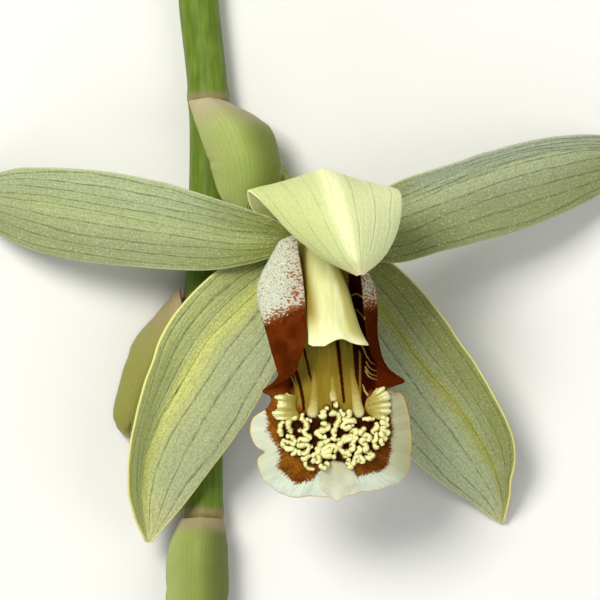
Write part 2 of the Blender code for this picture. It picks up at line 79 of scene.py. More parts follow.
class Paint:
    # one material: its tree, its shader, and the one method that adds any other node
    def __init__(self, name, roughness=0.5, **shader):
        self.material = bpy.data.materials.new(name)
        self.material.use_nodes = True
        self.tree = self.material.node_tree
        self.shader = self.tree.nodes["Principled BSDF"]
        shader = {"Roughness": roughness, "Specular_IOR_Level": 0.18, **shader}
        for socket, amount in shader.items():
            self.shader.inputs[socket.replace("_", " ")].default_value = amount
        spot = self.node("ShaderNodeTexCoord", {}, {}, "Object")
        self.place = self.node("ShaderNodeVectorMath", {"operation": "SCALE"},
                               {0: spot, "Scale": 1 / mm}, 0)
        self.x, self.y, self.z = self.parts(self.place)

    def node(self, kind, settings, values, output=0):
        # a Value is linked to the input, any other value is set on it
        made = self.tree.nodes.new(kind)
        for name, setting in settings.items():
            setattr(made, name, setting)
        for name, value in values.items():
            if isinstance(value, Value):
                self.tree.links.new(value.socket, made.inputs[name])
            else:
                made.inputs[name].default_value = value
        return Value(self, made.outputs[output])

    def math(self, operation, *values):
        return self.node("ShaderNodeMath", {"operation": operation}, dict(enumerate(values)))

    def parts(self, vector):
        made = self.node("ShaderNodeSeparateXYZ", {}, {0: vector})
        return [Value(self, made.socket.node.outputs[i]) for i in range(3)]

    def joined(self, x, y, z=0.0):
        return self.node("ShaderNodeCombineXYZ", {}, {0: x, 1: y, 2: z})

    def mark(self, name):
        return self.node("ShaderNodeAttribute", {"attribute_name": name}, {}, "Fac")

    def acrossAlong(self):
        # the piece's own UV map, as -1 to 1 across it and 0 to 1 along it
        u, v, w = self.parts(self.node("ShaderNodeUVMap", {"uv_map": "flat"}, {}))
        return u * 2 - 1, v

    def noise(self, scale, detail=2.0, where=None):
        return self.node("ShaderNodeTexNoise", {},
                         {"Vector": where or self.place, "Scale": scale, "Detail": detail}, "Fac")

    def cells(self, scale):
        return self.node("ShaderNodeTexVoronoi", {}, {"Vector": self.place, "Scale": scale},
                         "Distance")

    def rise(self, value, low, high):
        # 0 below low, 1 above high, smooth between
        return self.node("ShaderNodeMapRange", {"interpolation_type": "SMOOTHSTEP"},
                         {0: value, 1: low, 2: high})

    def fall(self, value, low, high):
        # 1 below low, 0 above high, smooth between
        return 1 - self.rise(value, low, high)

    def bell(self, value, width):
        # 1 where the value is 0, falling off smoothly to 0 at the width on both sides
        return self.fall(abs(value), 0.0, width)

    def mix(self, share, first, second):
        # from the first colour to the second; a colour is a Value or a screen colour
        first, second = (each if isinstance(each, Value) else tint(*each)
                         for each in (first, second))
        return self.node("ShaderNodeMix", {"data_type": "RGBA"},
                         {0: share, 6: first, 7: second}, 2)

    def colour(self, value):
        self.tree.links.new(value.socket, self.shader.inputs["Base Color"])

    def rough(self, value):
        self.tree.links.new(value.socket, self.shader.inputs["Roughness"])

    def bump(self, height, depth):
        # depth is in millimetres for a height that runs from 0 to 1
        raised = self.node("ShaderNodeBump", {}, {"Height": height, "Distance": depth * mm},
                           "Normal")
        self.tree.links.new(raised.socket, self.shader.inputs["Normal"])


def tint(red, green, blue):
    # a screen colour, 0 to 255, as the linear colour that a shader takes
    share = np.array([red, green, blue]) / 255
    linear = np.where(share < 0.04045, share / 12.92, ((share + 0.055) / 1.055) ** 2.4)
    return (*linear.tolist(), 1.0)


# surfaces

def throughPoints(points, count):
    # cubic pieces through evenly spaced points; each slope is half the step between neighbours
    points = np.asarray(points, float)
    last = len(points) - 1
    slopes = np.gradient(points, axis=0)
    place = np.linspace(0, last, count)
    index = np.minimum(place.astype(int), last - 1)
    part = (place - index).reshape(-1, *([1] * (points.ndim - 1)))
    return ((2 * part**3 - 3 * part**2 + 1) * points[index]
            + (part**3 - 2 * part**2 + part) * slopes[index]
            + (3 * part**2 - 2 * part**3) * points[index + 1]
            + (part**3 - part**2) * slopes[index + 1])


def unit(vectors):
    # each vector over its length
    return vectors / np.maximum(np.linalg.norm(vectors, axis=-1, keepdims=True), 1e-9)


def normalsOf(grid):
    # cross product of the steps across and along the grid
    return unit(np.cross(np.gradient(grid, axis=1), np.gradient(grid, axis=0)))


def waves(place, seed, longest):
    # a soft random line: five sines of rising pitch and random phase, about 1 high
    chance = np.random.default_rng(seed)
    total = 0
    for step in range(1, 6):
        turn = chance.uniform(0, 2 * math.pi)
        total = total + np.sin(place * 2 * math.pi * step / longest + turn) / step
    return total / 1.5


def putMesh(name, points, quads, corners, uv=None, marks=None):
    # points in millimetres, then four-sided and three-sided faces, all smooth
    quads = np.asarray(quads, int).reshape(-1, 4)
    corners = np.asarray(corners, int).reshape(-1, 3)
    mesh = bpy.data.meshes.new(name)
    mesh.vertices.add(len(points))
    mesh.vertices.foreach_set("co", (np.asarray(points) * mm).astype(np.float32).ravel())
    loops = np.concatenate([quads.ravel(), corners.ravel()])
    starts = np.concatenate([np.arange(len(quads)) * 4,
                             len(quads) * 4 + np.arange(len(corners)) * 3])
    mesh.loops.add(len(loops))
    mesh.loops.foreach_set("vertex_index", loops.astype(np.int32))
    mesh.polygons.add(len(starts))
    mesh.polygons.foreach_set("loop_start", starts.astype(np.int32))
    mesh.update(calc_edges=True)
    mesh.shade_smooth()
    if uv is not None:
        layer = mesh.uv_layers.new(name="flat")
        layer.data.foreach_set("uv", np.asarray(uv)[loops].astype(np.float32).ravel())
    for mark, values in (marks or {}).items():
        layer = mesh.attributes.new(mark, "FLOAT", "POINT")
        layer.data.foreach_set("value", np.asarray(values).astype(np.float32).ravel())
    piece = bpy.data.objects.new(name, mesh)
    bpy.context.collection.objects.link(piece)
    return piece


def sheet(name, grid, thickness, marks):
    # a thin closed solid: the grid moved half its thickness to each side, and a rim between
    rows, columns = grid.shape[:2]
    thickness = np.broadcast_to(thickness, (rows, columns))
    v, u = np.meshgrid(np.linspace(0, 1, rows), np.linspace(0, 1, columns), indexing="ij")
    if normalsOf(grid)[..., 2].mean() < 0:
        grid, thickness, u = grid[:, ::-1], thickness[:, ::-1], u[:, ::-1]
        marks = {mark: values[:, ::-1] for mark, values in marks.items()}
    half = normalsOf(grid) * (thickness / 2)[..., None]
    upper, lower = grid + half, grid - half
    upper[..., 2] = np.maximum(upper[..., 2], lowestTop)
    lower[..., 2] = np.maximum(lower[..., 2], lowest)
    index = np.arange(rows * columns).reshape(rows, columns)
    top = np.stack([index[:-1, :-1], index[:-1, 1:], index[1:, 1:], index[1:, :-1]],
                   -1).reshape(-1, 4)
    under = top[:, ::-1] + rows * columns
    ring = np.concatenate([index[0, :-1], index[:-1, -1], index[-1, :0:-1], index[:0:-1, 0]])
    after = np.roll(ring, -1)
    rim = np.stack([after, ring, ring + rows * columns, after + rows * columns], -1)
    uv = np.tile(np.stack([u, v], -1).reshape(-1, 2), (2, 1))
    both = {"inner": np.repeat([1.0, 0.0], rows * columns)}
    for mark, values in marks.items():
        both[mark] = np.tile(values.ravel(), 2)
    return putMesh(name, np.concatenate([upper.reshape(-1, 3), lower.reshape(-1, 3)]),
                   np.concatenate([top, under, rim]), [], uv, both)


def rimDistance(grid):
    # length along the grid's lines from each point to the nearest margin but the foot
    across, along = (np.linalg.norm(np.diff(grid, axis=axis), axis=-1) for axis in (1, 0))
    left = np.pad(np.cumsum(across, 1), ((0, 0), (1, 0)))
    run = np.pad(np.cumsum(along, 0), ((1, 0), (0, 0)))
    return np.minimum(np.minimum(left, left[:, -1:] - left), run[-1:] - run)


def tubeFaces(count, sides):
    # four-sided faces between the rings, and three-sided ones from each end ring to its pole
    index = np.arange(count * sides).reshape(count, sides)
    turned = np.roll(index, -1, axis=1)
    quads = np.stack([index[:-1], index[1:], turned[1:], turned[:-1]], -1).reshape(-1, 4)
    first, last = np.full((2, sides), [[count * sides], [count * sides + 1]])
    return quads, np.concatenate([np.stack([index[0], turned[0], first], -1),
                                  np.stack([turned[-1], index[-1], last], -1)])


def rod(name, centre, radius, sides, profile=None, marks=None, tall=1.0):
    # rings square to a line, each radius plus a profile round it, closed by two poles
    centre = np.asarray(centre, float)
    count = len(centre)
    along = unit(np.gradient(centre, axis=0))
    side = unit(np.cross(along, np.array([0.0, 0.0, 1.0])))
    other = np.cross(side, along)
    angle = np.linspace(0, 2 * math.pi, sides, endpoint=False)
    reach = np.asarray(radius).reshape(-1, 1) * np.ones(sides)
    if profile is not None:
        reach = reach + profile(angle[None, :], np.linspace(0, 1, count)[:, None])
    rings = (centre[:, None] + reach[..., None] * (np.cos(angle)[None, :, None] * side[:, None]
             + tall * np.sin(angle)[None, :, None] * other[:, None]))
    rings[..., 2] = np.maximum(rings[..., 2], lowest)
    points = np.concatenate([rings.reshape(-1, 3), centre[:1], centre[-1:]])
    u = np.tile(np.linspace(0, 1, sides), count)
    v = np.repeat(np.linspace(0, 1, count), sides)
    uv = np.concatenate([np.stack([u, v], -1), [[0.5, 0.0], [0.5, 1.0]]])
    return putMesh(name, points, *tubeFaces(count, sides), uv, marks)


def joined(name, parts):
    # several meshes in one object, in the order given
    bpy.ops.object.select_all(action="DESELECT")
    for part in parts:
        part.select_set(True)
    bpy.context.view_layer.objects.active = parts[0]
    bpy.ops.object.join()
    parts[0].name = name
    parts[0].data.name = name
    return parts[0]


def finishPiece(piece, node, slot, paint):
    # the piece rides on the only body and stands for its CAD node, if it has one
    piece.data.materials.clear()
    piece.data.materials.append(paint.material)
    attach(piece, "root")
    if node:
        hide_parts(node)
    return piece


# petals, sepals and bracts

def tepalPaint(name, look):
    # a body colour that runs from one half to the other in painted light and shade, a band on
    # the midrib, thin dark veins that run from base to tip, sparkling cells all over in painted
    # glints, and a pale line round the margin
    paint = Paint(name, Subsurface_Weight=look["glow"], Subsurface_Scale=0.0008)
    mix, rise, fall, noise = paint.mix, paint.rise, paint.fall, paint.noise
    across, along = paint.acrossAlong()
    drift, fine, cell = noise(0.16) - 0.5, noise(5.5), paint.cells(4.4)
    # painted light and shade: each half takes the colour it shows as lit, lighter on one side and
    # darker on the other
    colour = mix(rise(across + drift * 0.9, -0.85, 0.85), look["leftSideShading"], look["rightSideShading"])
    base = fall(along + drift * 0.12, look["baseFrom"], look["baseTo"])
    colour = mix(base, colour, look["baseColour"])
    tip = rise(along + drift * 0.1, look["tipFrom"], 1.02)
    colour = mix(tip * 0.5, colour, look["tipColour"])
    # the band on the midrib: lighter on most pieces, painted shade along the right sepal's groove,
    # and on the hood partly a painted highlight on its keel
    band = paint.bell(across - look["bandAt"] + drift * 0.08, look["bandWidth"])
    band = band * rise(along, 0.02, 0.2) * fall(along, look["bandEnd"], 1.0)
    colour = mix(band * look["bandShare"], colour, look["band"])
    # veins: the distance to the nearest of evenly spaced lines across, bent by soft noise
    wander = (noise(1.0, 3, paint.joined(across * 2.2, along * 2.6)) - 0.5) * look["wander"]
    lines = (across + 1) * (look["veins"] / 2) + wander
    nearest = abs(lines.math("FRACT") - 0.5)
    broken = 0.5 + rise(noise(0.9), 0.35, 0.6) * 0.5
    smallLines = abs((lines * 3.0 + wander * 2).math("FRACT") - 0.5)
    vein = paint.math("MAXIMUM", fall(nearest, 0.0175, 0.07) * broken,
                      fall(smallLines, 0.05, 0.2) * 0.22)
    vein = vein * fall(along, 0.93, 1.0) * rise(along, 0.02, 0.14)
    colour = mix(vein * look["veinShare"], colour, look["vein"])
    # cells: dark seams between them, and a light grain of painted glints here and there
    colour = mix(rise(cell, 0.42, 0.62) * look["grain"], colour, look["vein"])
    colour = mix(rise(fine, 0.57, 0.74) * look["glintShare"], colour, look["glintColour"])
    edge = fall(paint.mark("rim"), 0.03, look["edgeWidth"]) * look["edgeShare"]
    paint.colour(mix(edge, colour, look["edge"]))
    paint.rough(0.62 - fine * 0.3)
    paint.bump((1 - cell) * 0.45 + fine * 0.35 - vein * 0.9, look["relief"])
    return paint


def buildTepal(piece):
    # straight in plan from the midrib to a margin; the height follows a power of that reach
    look = piece["look"]
    stations = np.reshape(piece["stations"], (-1, 3, 3))
    left, middle, right = throughPoints(stations, look["rows"]).transpose(1, 0, 2)[:, :, None]
    along, across = np.meshgrid(np.linspace(0, 1, look["rows"]),
                                np.linspace(-1, 1, look["columns"]), indexing="ij")
    reach = np.abs(across[..., None])
    margin = np.where(across[..., None] < 0, left, right)
    flat = middle + (margin - middle) * reach
    height = middle + (margin - middle) * reach**look["roundness"]
    grid = np.concatenate([flat[..., :2], height[..., 2:]], -1)
    # the lines across are pulled back on both sides of the midrib, most at one place along
    pull, place, spread = look["dips"]
    grid[..., 1] -= (pull * np.sin(np.pi * np.abs(across))
                     * np.exp(-((along - place) / spread) ** 2))
    # relief along the normals: the midrib's ridge, furrows on the veins, a ruffled margin
    def ends(foot, tip):
        # 0 at both ends, straight up to 1 at the share 1 / foot and 1 / tip from them
        return np.clip(along * foot, 0, 1) * np.clip((1 - along) * tip, 0, 1)

    ridge = (look["ridge"] * np.exp(-(across / 0.15) ** 2) * np.clip(along * 4 - 1, 0, 1)
             * np.clip((1 - along) * 5, 0, 1))
    lines = (across + 1) * look["veins"] / 2 + 0.12 * waves(along * 8 + across, 3, 9)
    furrow = np.exp(-((lines % 1 - 0.5) / 0.13) ** 2)
    ruffle = np.abs(across) ** 4 * waves(along * 30 + 9 * (across > 0), 5, 11)
    relief = ridge - look["furrow"] * furrow * ends(8, 8) + look["ruffle"] * ruffle * ends(5, 6)
    grid = grid + normalsOf(grid) * relief[..., None]
    rim = rimDistance(grid)
    thick = piece["thickness"] * (0.28 + 0.72 * np.clip(rim / 1.6, 0, 1) ** 0.6)
    made = sheet(piece["node"] + "_detail", grid, thick, {"rim": rim})
    return finishPiece(made, piece["node"], piece["slot"],
                       tepalPaint(piece["node"] + " skin", look))


tepalLook = dict(
    rows=190, columns=81, roundness=1.8, dips=(0, 0.5, 1), ridge=0, furrow=0.045, ruffle=0.12,
    glow=0.12, wander=1.1, grain=0.26, glintShare=0.42, glintColour=(214, 220, 180), edgeShare=0.75,
    relief=0.06)
# the colours of each piece's two halves are painted light and shade, as each half is lit
petalLook = dict(
    tepalLook, leftSideShading=(172, 184, 138), rightSideShading=(142, 151, 102), baseColour=(128, 137, 54),
    baseFrom=0.08, baseTo=0.46, bandAt=0.05, bandWidth=0.45, bandEnd=0.7, bandShare=0.35,
    band=(180, 192, 126), vein=(92, 104, 62), veins=9, veinShare=0.62, edge=(196, 200, 158),
    edgeShare=0.45, edgeWidth=0.14, tipFrom=0.85, tipColour=(196, 200, 158))
petalRightLook = dict(
    petalLook, leftSideShading=(138, 144, 97), rightSideShading=(170, 181, 154), band=(190, 200, 150),
    bandShare=0.45)
sepalLook = dict(
    tepalLook, leftSideShading=(168, 176, 132), rightSideShading=(192, 202, 130), baseColour=(126, 134, 56),
    baseFrom=0.02, baseTo=0.42, bandAt=0, bandWidth=0.34, bandEnd=0.86, bandShare=0.7,
    band=(214, 216, 112), vein=(92, 104, 64), veins=7, veinShare=0.6, edge=(232, 228, 140),
    edgeWidth=0.17, tipFrom=0.8, tipColour=(218, 208, 136))
# the right sepal's dark olive band is painted shade along the groove of its midrib
sepalRightLook = dict(
    sepalLook, leftSideShading=(140, 146, 84), rightSideShading=(176, 186, 146), band=(158, 158, 54),
    bandShare=0.8, bandWidth=0.2, tipColour=(216, 198, 140))
# the hood's near-white band is partly its pale keel and partly a painted highlight on it
hoodLook = dict(
    tepalLook, leftSideShading=(195, 204, 136), rightSideShading=(216, 224, 170), baseColour=(150, 158, 78),
    baseFrom=0.1, baseTo=0.38, bandAt=0.03, bandWidth=0.24, bandEnd=0.86, bandShare=0.95,
    band=(248, 250, 196), vein=(168, 178, 110), veins=7, veinShare=0.22, wander=0.7,
    glintColour=(240, 246, 200), edge=(248, 250, 196), edgeWidth=0.2, furrow=0.018, ruffle=0.05,
    glow=0.15, tipFrom=0.85, tipColour=(240, 226, 176), grain=0.16, glintShare=0.4,
    dips=(0.25, 0.43, 0.16), ridge=0.14)
bractLook = dict(
    tepalLook, leftSideShading=(166, 176, 104), rightSideShading=(112, 124, 46), baseColour=(176, 164, 128),
    baseFrom=0.02, baseTo=0.3, bandAt=-0.1, bandWidth=0.8, bandEnd=0.8, bandShare=0.5,
    band=(160, 180, 92), vein=(120, 136, 62), veins=16, veinShare=0.25, glintColour=(184, 194, 130),
    edge=(176, 150, 120), edgeShare=0.5, edgeWidth=0.4, furrow=0.02, ruffle=0.08, grain=0.06,
    glintShare=0.1, relief=0.03, tipFrom=0.75, tipColour=(190, 160, 130))
bractLeftLook = dict(
    bractLook, leftSideShading=(138, 138, 58), rightSideShading=(128, 134, 46), band=(146, 142, 76),
    baseColour=(166, 146, 110), baseTo=0.5)
bractLowerLook = dict(
    bractLook, leftSideShading=(156, 168, 92), rightSideShading=(98, 108, 28), band=(132, 144, 68),
    baseColour=(150, 134, 104), baseTo=0.14)

# each station along a piece is the place of its left margin, its midrib and its right margin
petalLeft = dict(
    node="petal_left", slot="tepal_olive", thickness=0.5, look=petalLook,
    stations=[
        (-0.5, 6.7, 10, -0.5, 6, 9.95, -0.5, 5.2, 9.95),
        (-2.9, 8.2, 10.2, -3.4, 6.1, 9.7, -3.6, 4, 9.9),
        (-6.3, 9.4, 10.1, -7, 6.4, 8.9, -7.8, 3.1, 9.6),
        (-10.4, 10.8, 9.3, -11.4, 7.1, 8, -12.6, 3, 9.1),
        (-15, 12, 8.2, -16, 8, 7, -17.6, 3.4, 7.6),
        (-20, 12.9, 6.9, -21, 8.9, 5.8, -22.7, 4, 6.2),
        (-25.5, 13.3, 5.2, -26, 9.8, 4.1, -27.4, 5.2, 4.6),
        (-30, 12.9, 3.2, -30.3, 10.4, 2.2, -31, 7.1, 2.6),
        (-34, 11, 0.7, -34.1, 10.7, 0.35, -34, 10.3, 0.6)])
petalRight = dict(
    node="petal_right", slot="tepal_olive", thickness=0.5, look=petalRightLook,
    stations=[
        (3.1, 5.2, 9.95, 3.1, 6, 9.95, 3, 6.7, 10),
        (6, 4.1, 9.9, 6.2, 7.6, 9.9, 5.8, 9.3, 10.1),
        (9.8, 3.7, 9.6, 9.8, 9.1, 9.3, 9.4, 11.6, 9.9),
        (14, 4.8, 9, 13.4, 10.7, 8.5, 13.1, 13, 9.3),
        (18.2, 5.9, 8, 17.5, 12.3, 7.4, 17.2, 14.3, 8.2),
        (22.6, 7.2, 6.6, 22, 13.8, 5.9, 21.7, 15.6, 6.7),
        (27, 9, 4.7, 26.6, 14.8, 4.1, 26.4, 16.5, 4.8),
        (31, 11.1, 2.6, 30.6, 15.1, 2.1, 30.6, 16.5, 2.7),
        (34, 13.6, 0.6, 34.1, 14.2, 0.35, 34, 14.7, 0.6)])
sepalLeft = dict(
    node="lateral_sepal_left", slot="tepal_olive", thickness=0.55, look=sepalLook,
    stations=[
        (0.8, 3.9, 8.9, -0.1, 4.5, 8.7, -0.9, 5.2, 8.8),
        (0.9, 0.6, 8.9, -2.9, 2, 8.1, -5, 4.6, 8.4),
        (-0.7, -3.6, 8.8, -6, -0.8, 7.5, -9.1, 2.3, 8.6),
        (-3.1, -8.2, 8.4, -9.4, -4.3, 7.1, -13.1, -2.4, 9.6),
        (-5.9, -12.9, 7.6, -12.3, -9, 6.6, -15.5, -8.2, 9.8),
        (-9.1, -17.2, 6.4, -14.9, -13.6, 6, -16.9, -14.2, 9.3),
        (-12, -21, 5.2, -15.9, -18.8, 5, -17, -20.2, 7.4),
        (-14.9, -24.3, 4.2, -15.3, -24.4, 4, -15.6, -24.2, 4.4)])
sepalRight = dict(
    node="lateral_sepal_right", slot="tepal_olive", thickness=0.55, look=sepalRightLook,
    stations=[
        (3.5, 5.2, 8.8, 2.7, 4.5, 8.7, 1.8, 3.9, 8.9),
        (7.2, 4.9, 8.5, 5.4, 2.3, 8.2, 1.6, 1, 8.6),
        (11, 2.2, 8.4, 8.4, -1.2, 7.6, 3.6, -4.2, 8),
        (15.3, -3.1, 8.3, 12.1, -6.3, 6.6, 6.4, -10, 6.8),
        (19, -8.7, 7.4, 16, -10.9, 5.4, 10.2, -14.9, 5),
        (21.4, -14.2, 5.6, 19, -15.8, 3.6, 14.2, -18.4, 3),
        (21.2, -19.2, 3, 20.4, -19.6, 1.6, 17.8, -20.8, 1.2),
        (20.6, -22.4, 0.7, 20.4, -22.5, 0.35, 20.1, -22.5, 0.4)])
hood = dict(
    node="dorsal_sepal", slot="hood_cream", thickness=0.5, look=hoodLook,
    stations=[
        (0, 7.4, 9.6, 1.3, 7.7, 9.4, 2.6, 7.4, 9.6),
        (-2.4, 8.2, 11.9, 1.5, 9.8, 11.8, 5.4, 8.9, 12.3),
        (-4.65, 8.95, 14.2, 1.9, 11.7, 14.8, 8.2, 10, 14.6),
        (-5.2, 10.7, 16.7, 2.3, 12.85, 18, 9.4, 10.9, 17.2),
        (-4.15, 10.05, 18.9, 2.8, 11.8, 21.2, 10, 10.1, 19.6),
        (-2.5, 8.3, 20.3, 3.5, 9.6, 23.7, 9.9, 8.2, 20.8),
        (-0.7, 6.45, 21.4, 4.2, 7.2, 24.8, 9.3, 6.2, 21.4),
        (2.2, 4.1, 22.6, 5, 4.6, 24.9, 8, 4, 22.4),
        (5.6, 2.4, 23.6, 5.9, 2.5, 23.9, 6.2, 2.5, 23.6)])
bractFlower = dict(
    node="bract_flower", slot="bract_olive", thickness=0.45, look=bractLook,
    stations=[
        (-11.2, 20, 3.9, -9.2, 20.2, 4.95, -7.1, 19.8, 3.6),
        (-10.3, 17.2, 4.9, -6.7, 17.7, 7.3, -3.2, 17.5, 3.9),
        (-9.3, 14.6, 5.1, -5.5, 14.9, 7.9, -2.1, 14.5, 4.8),
        (-8.6, 12, 5.2, -5.1, 12.2, 7.5, -2, 12, 5.7),
        (-7.6, 9.9, 5.5, -5.2, 10.1, 6.8, -3.3, 9.7, 6),
        (-5.9, 8.3, 6, -5.5, 8.2, 6.1, -5.1, 8.3, 6)])
bractLeft = dict(
    node="bract_left", slot="bract_olive", thickness=0.45, look=bractLeftLook,
    stations=[
        (-12.1, 1.2, 2.9, -11.9, -0.2, 4.1, -12.2, -1.9, 3),
        (-14.4, -1.3, 0.5, -13.3, -3, 4.2, -12.2, -4.6, 0.5),
        (-16.9, -4.6, 0.4, -14.9, -6.2, 4.2, -12.9, -7.8, 0.4),
        (-18.4, -9.2, 0.4, -16.2, -9.6, 3.6, -14.2, -11, 0.4),
        (-18.7, -12.2, 0.8, -17, -12.2, 2.5, -15.6, -13, 0.8),
        (-17.6, -13.8, 1.4, -17.3, -13.9, 1.5, -17, -14, 1.4)])
bractLower = dict(
    node="bract_lower", slot="bract_olive", thickness=0.45, look=bractLowerLook,
    stations=[
        (-11.9, -22, 3.9, -9.8, -21.9, 5.1, -7.7, -22, 3.9),
        (-13.2, -24.8, 2.4, -10.1, -24.7, 6.6, -7.3, -24.8, 2.9),
        (-13.4, -28, 2.3, -10.2, -28, 6.9, -7.25, -28, 2.8),
        (-13.4, -31.5, 2.8, -10.2, -31.2, 6.6, -7.35, -31.5, 3.1),
        (-12.3, -34.6, 3.9, -10.2, -34.4, 5.9, -8.1, -34.6, 3.9),
        (-10.5, -36.6, 5, -10.2, -36.7, 5.1, -9.9, -36.6, 5)])

for piece in (petalLeft, petalRight, sepalLeft, sepalRight, hood, bractFlower, bractLeft,
              bractLower):
    buildTepal(piece)
print("petals, sepals and bracts made")


# spike, pedicel and ovary

def stemPaint(name, look):
    # green with pale and dark streaks along the stem, and a brown scar at each node
    paint = Paint(name, Subsurface_Weight=0.1, Subsurface_Scale=0.0008)
    mix, rise, noise = paint.mix, paint.rise, paint.noise
    streak = noise(2.2, 4, paint.joined(paint.x, paint.y * 0.12, paint.z))
    blotch, fine = noise(0.5, 3), noise(9.0)
    colour = mix(rise(streak + (blotch - 0.5) * 0.5, 0.3, 0.72), look["dark"], look["light"])
    colour = mix(rise(fine, 0.6, 0.75) * 0.2, colour, look["light"])
    for node in look["nodes"]:
        ring = paint.bell(paint.y - node + (blotch - 0.5) * 0.8, 0.9)
        colour = mix(ring * 0.75, colour, look["scar"])
    paint.colour(colour)
    paint.rough(0.3 + streak * 0.3)
    paint.bump(streak * 0.7 + fine * 0.3, 0.05)
    return paint


spike = dict(
    line=[(-10.5, 37), (-10.2, 30), (-9.2, 20), (-9.2, 10), (-9.6, 0), (-9.8, -12),
          (-9.8, -21.8), (-10, -37)],
    height=1.9, radius=2.0, nodes=(20.4, 0.3, -21.4), swelling=0.16, spread=0.9, scarDepth=0.05,
    scarWidth=0.16, scarBelow=0.5, bevel=0.12,
    rings=420, sides=72, stubRadius=0.85, stubRings=24,
    leftStub=[(-10.4, 0.0, 1.4), (-11.9, -0.8, 1.3), (-12.9, -2.2, 1.2)],
    lowerStub=[(-9.9, -20.5, 2.4), (-10.0, -23.6, 3.9), (-10.1, -27.0, 4.3)],
    dark=(88, 110, 28), light=(108, 132, 42), scar=(150, 128, 92))


def buildSpike():
    # a round stem, swollen at its nodes, with faint ridges along it and flat cut ends
    centre = throughPoints([(x, y, spike["height"]) for x, y in spike["line"]], spike["rings"])
    swell = sum(np.exp(-((centre[:, 1] - node) / spike["spread"]) ** 2)
                for node in spike["nodes"])
    scar = sum(np.exp(-((centre[:, 1] - node + spike["scarBelow"]) / spike["scarWidth"]) ** 2)
               for node in spike["nodes"])
    radius = spike["radius"] + spike["swelling"] * swell - spike["scarDepth"] * scar
    radius[[0, -1]] -= spike["bevel"]

    def ridges(angle, along):
        # two sines round the stem, whose ridges wind along it in opposite ways
        return 0.018 * np.sin(11 * angle + 3 * along) + 0.012 * np.sin(23 * angle - 5 * along)

    axis = rod("rachis_detail", centre, radius, spike["sides"], ridges)
    count = spike["stubRings"]
    stubs = [rod("stub", throughPoints(spike[line], count), np.full(count, spike["stubRadius"]),
                 count) for line in ("leftStub", "lowerStub")]
    piece = joined("rachis_detail", [axis, *stubs])
    return finishPiece(piece, "rachis", "spike_green", stemPaint("spike skin", spike))


ovary = dict(
    line=[(-5.9, 18.1, 2.2), (-4.1, 15.2, 2.7), (-2.3, 12.2, 3.1), (-0.5, 9.3, 4.1),
          (0.9, 6.9, 6.0), (1.3, 5.8, 8.0), (1.3, 5.4, 9.7)],
    radius=[1.1, 1.1, 1.2, 1.45, 1.55, 1.3, 0.8], ribs=6, rib=0.13, rings=140, sides=60,
    dark=(128, 140, 66), light=(176, 186, 108), scar=(150, 140, 100), nodes=(18.0,))


def buildOvary():
    # a round stalk that swells into six ribs
    centre = throughPoints(ovary["line"], ovary["rings"])
    radius = throughPoints(np.array(ovary["radius"])[:, None], ovary["rings"])[:, 0]

    def ribbed(angle, along):
        # a cosine round the ovary, weaker near its foot
        return ovary["rib"] * np.cos(ovary["ribs"] * angle) * np.clip(along * 3, 0.2, 1)

    piece = rod("ovary_detail", centre, radius, ovary["sides"], ribbed)
    return finishPiece(piece, "ovary", "ovary_green", stemPaint("ovary skin", ovary))


buildSpike()
buildOvary()
print("spike and ovary made")


# lip

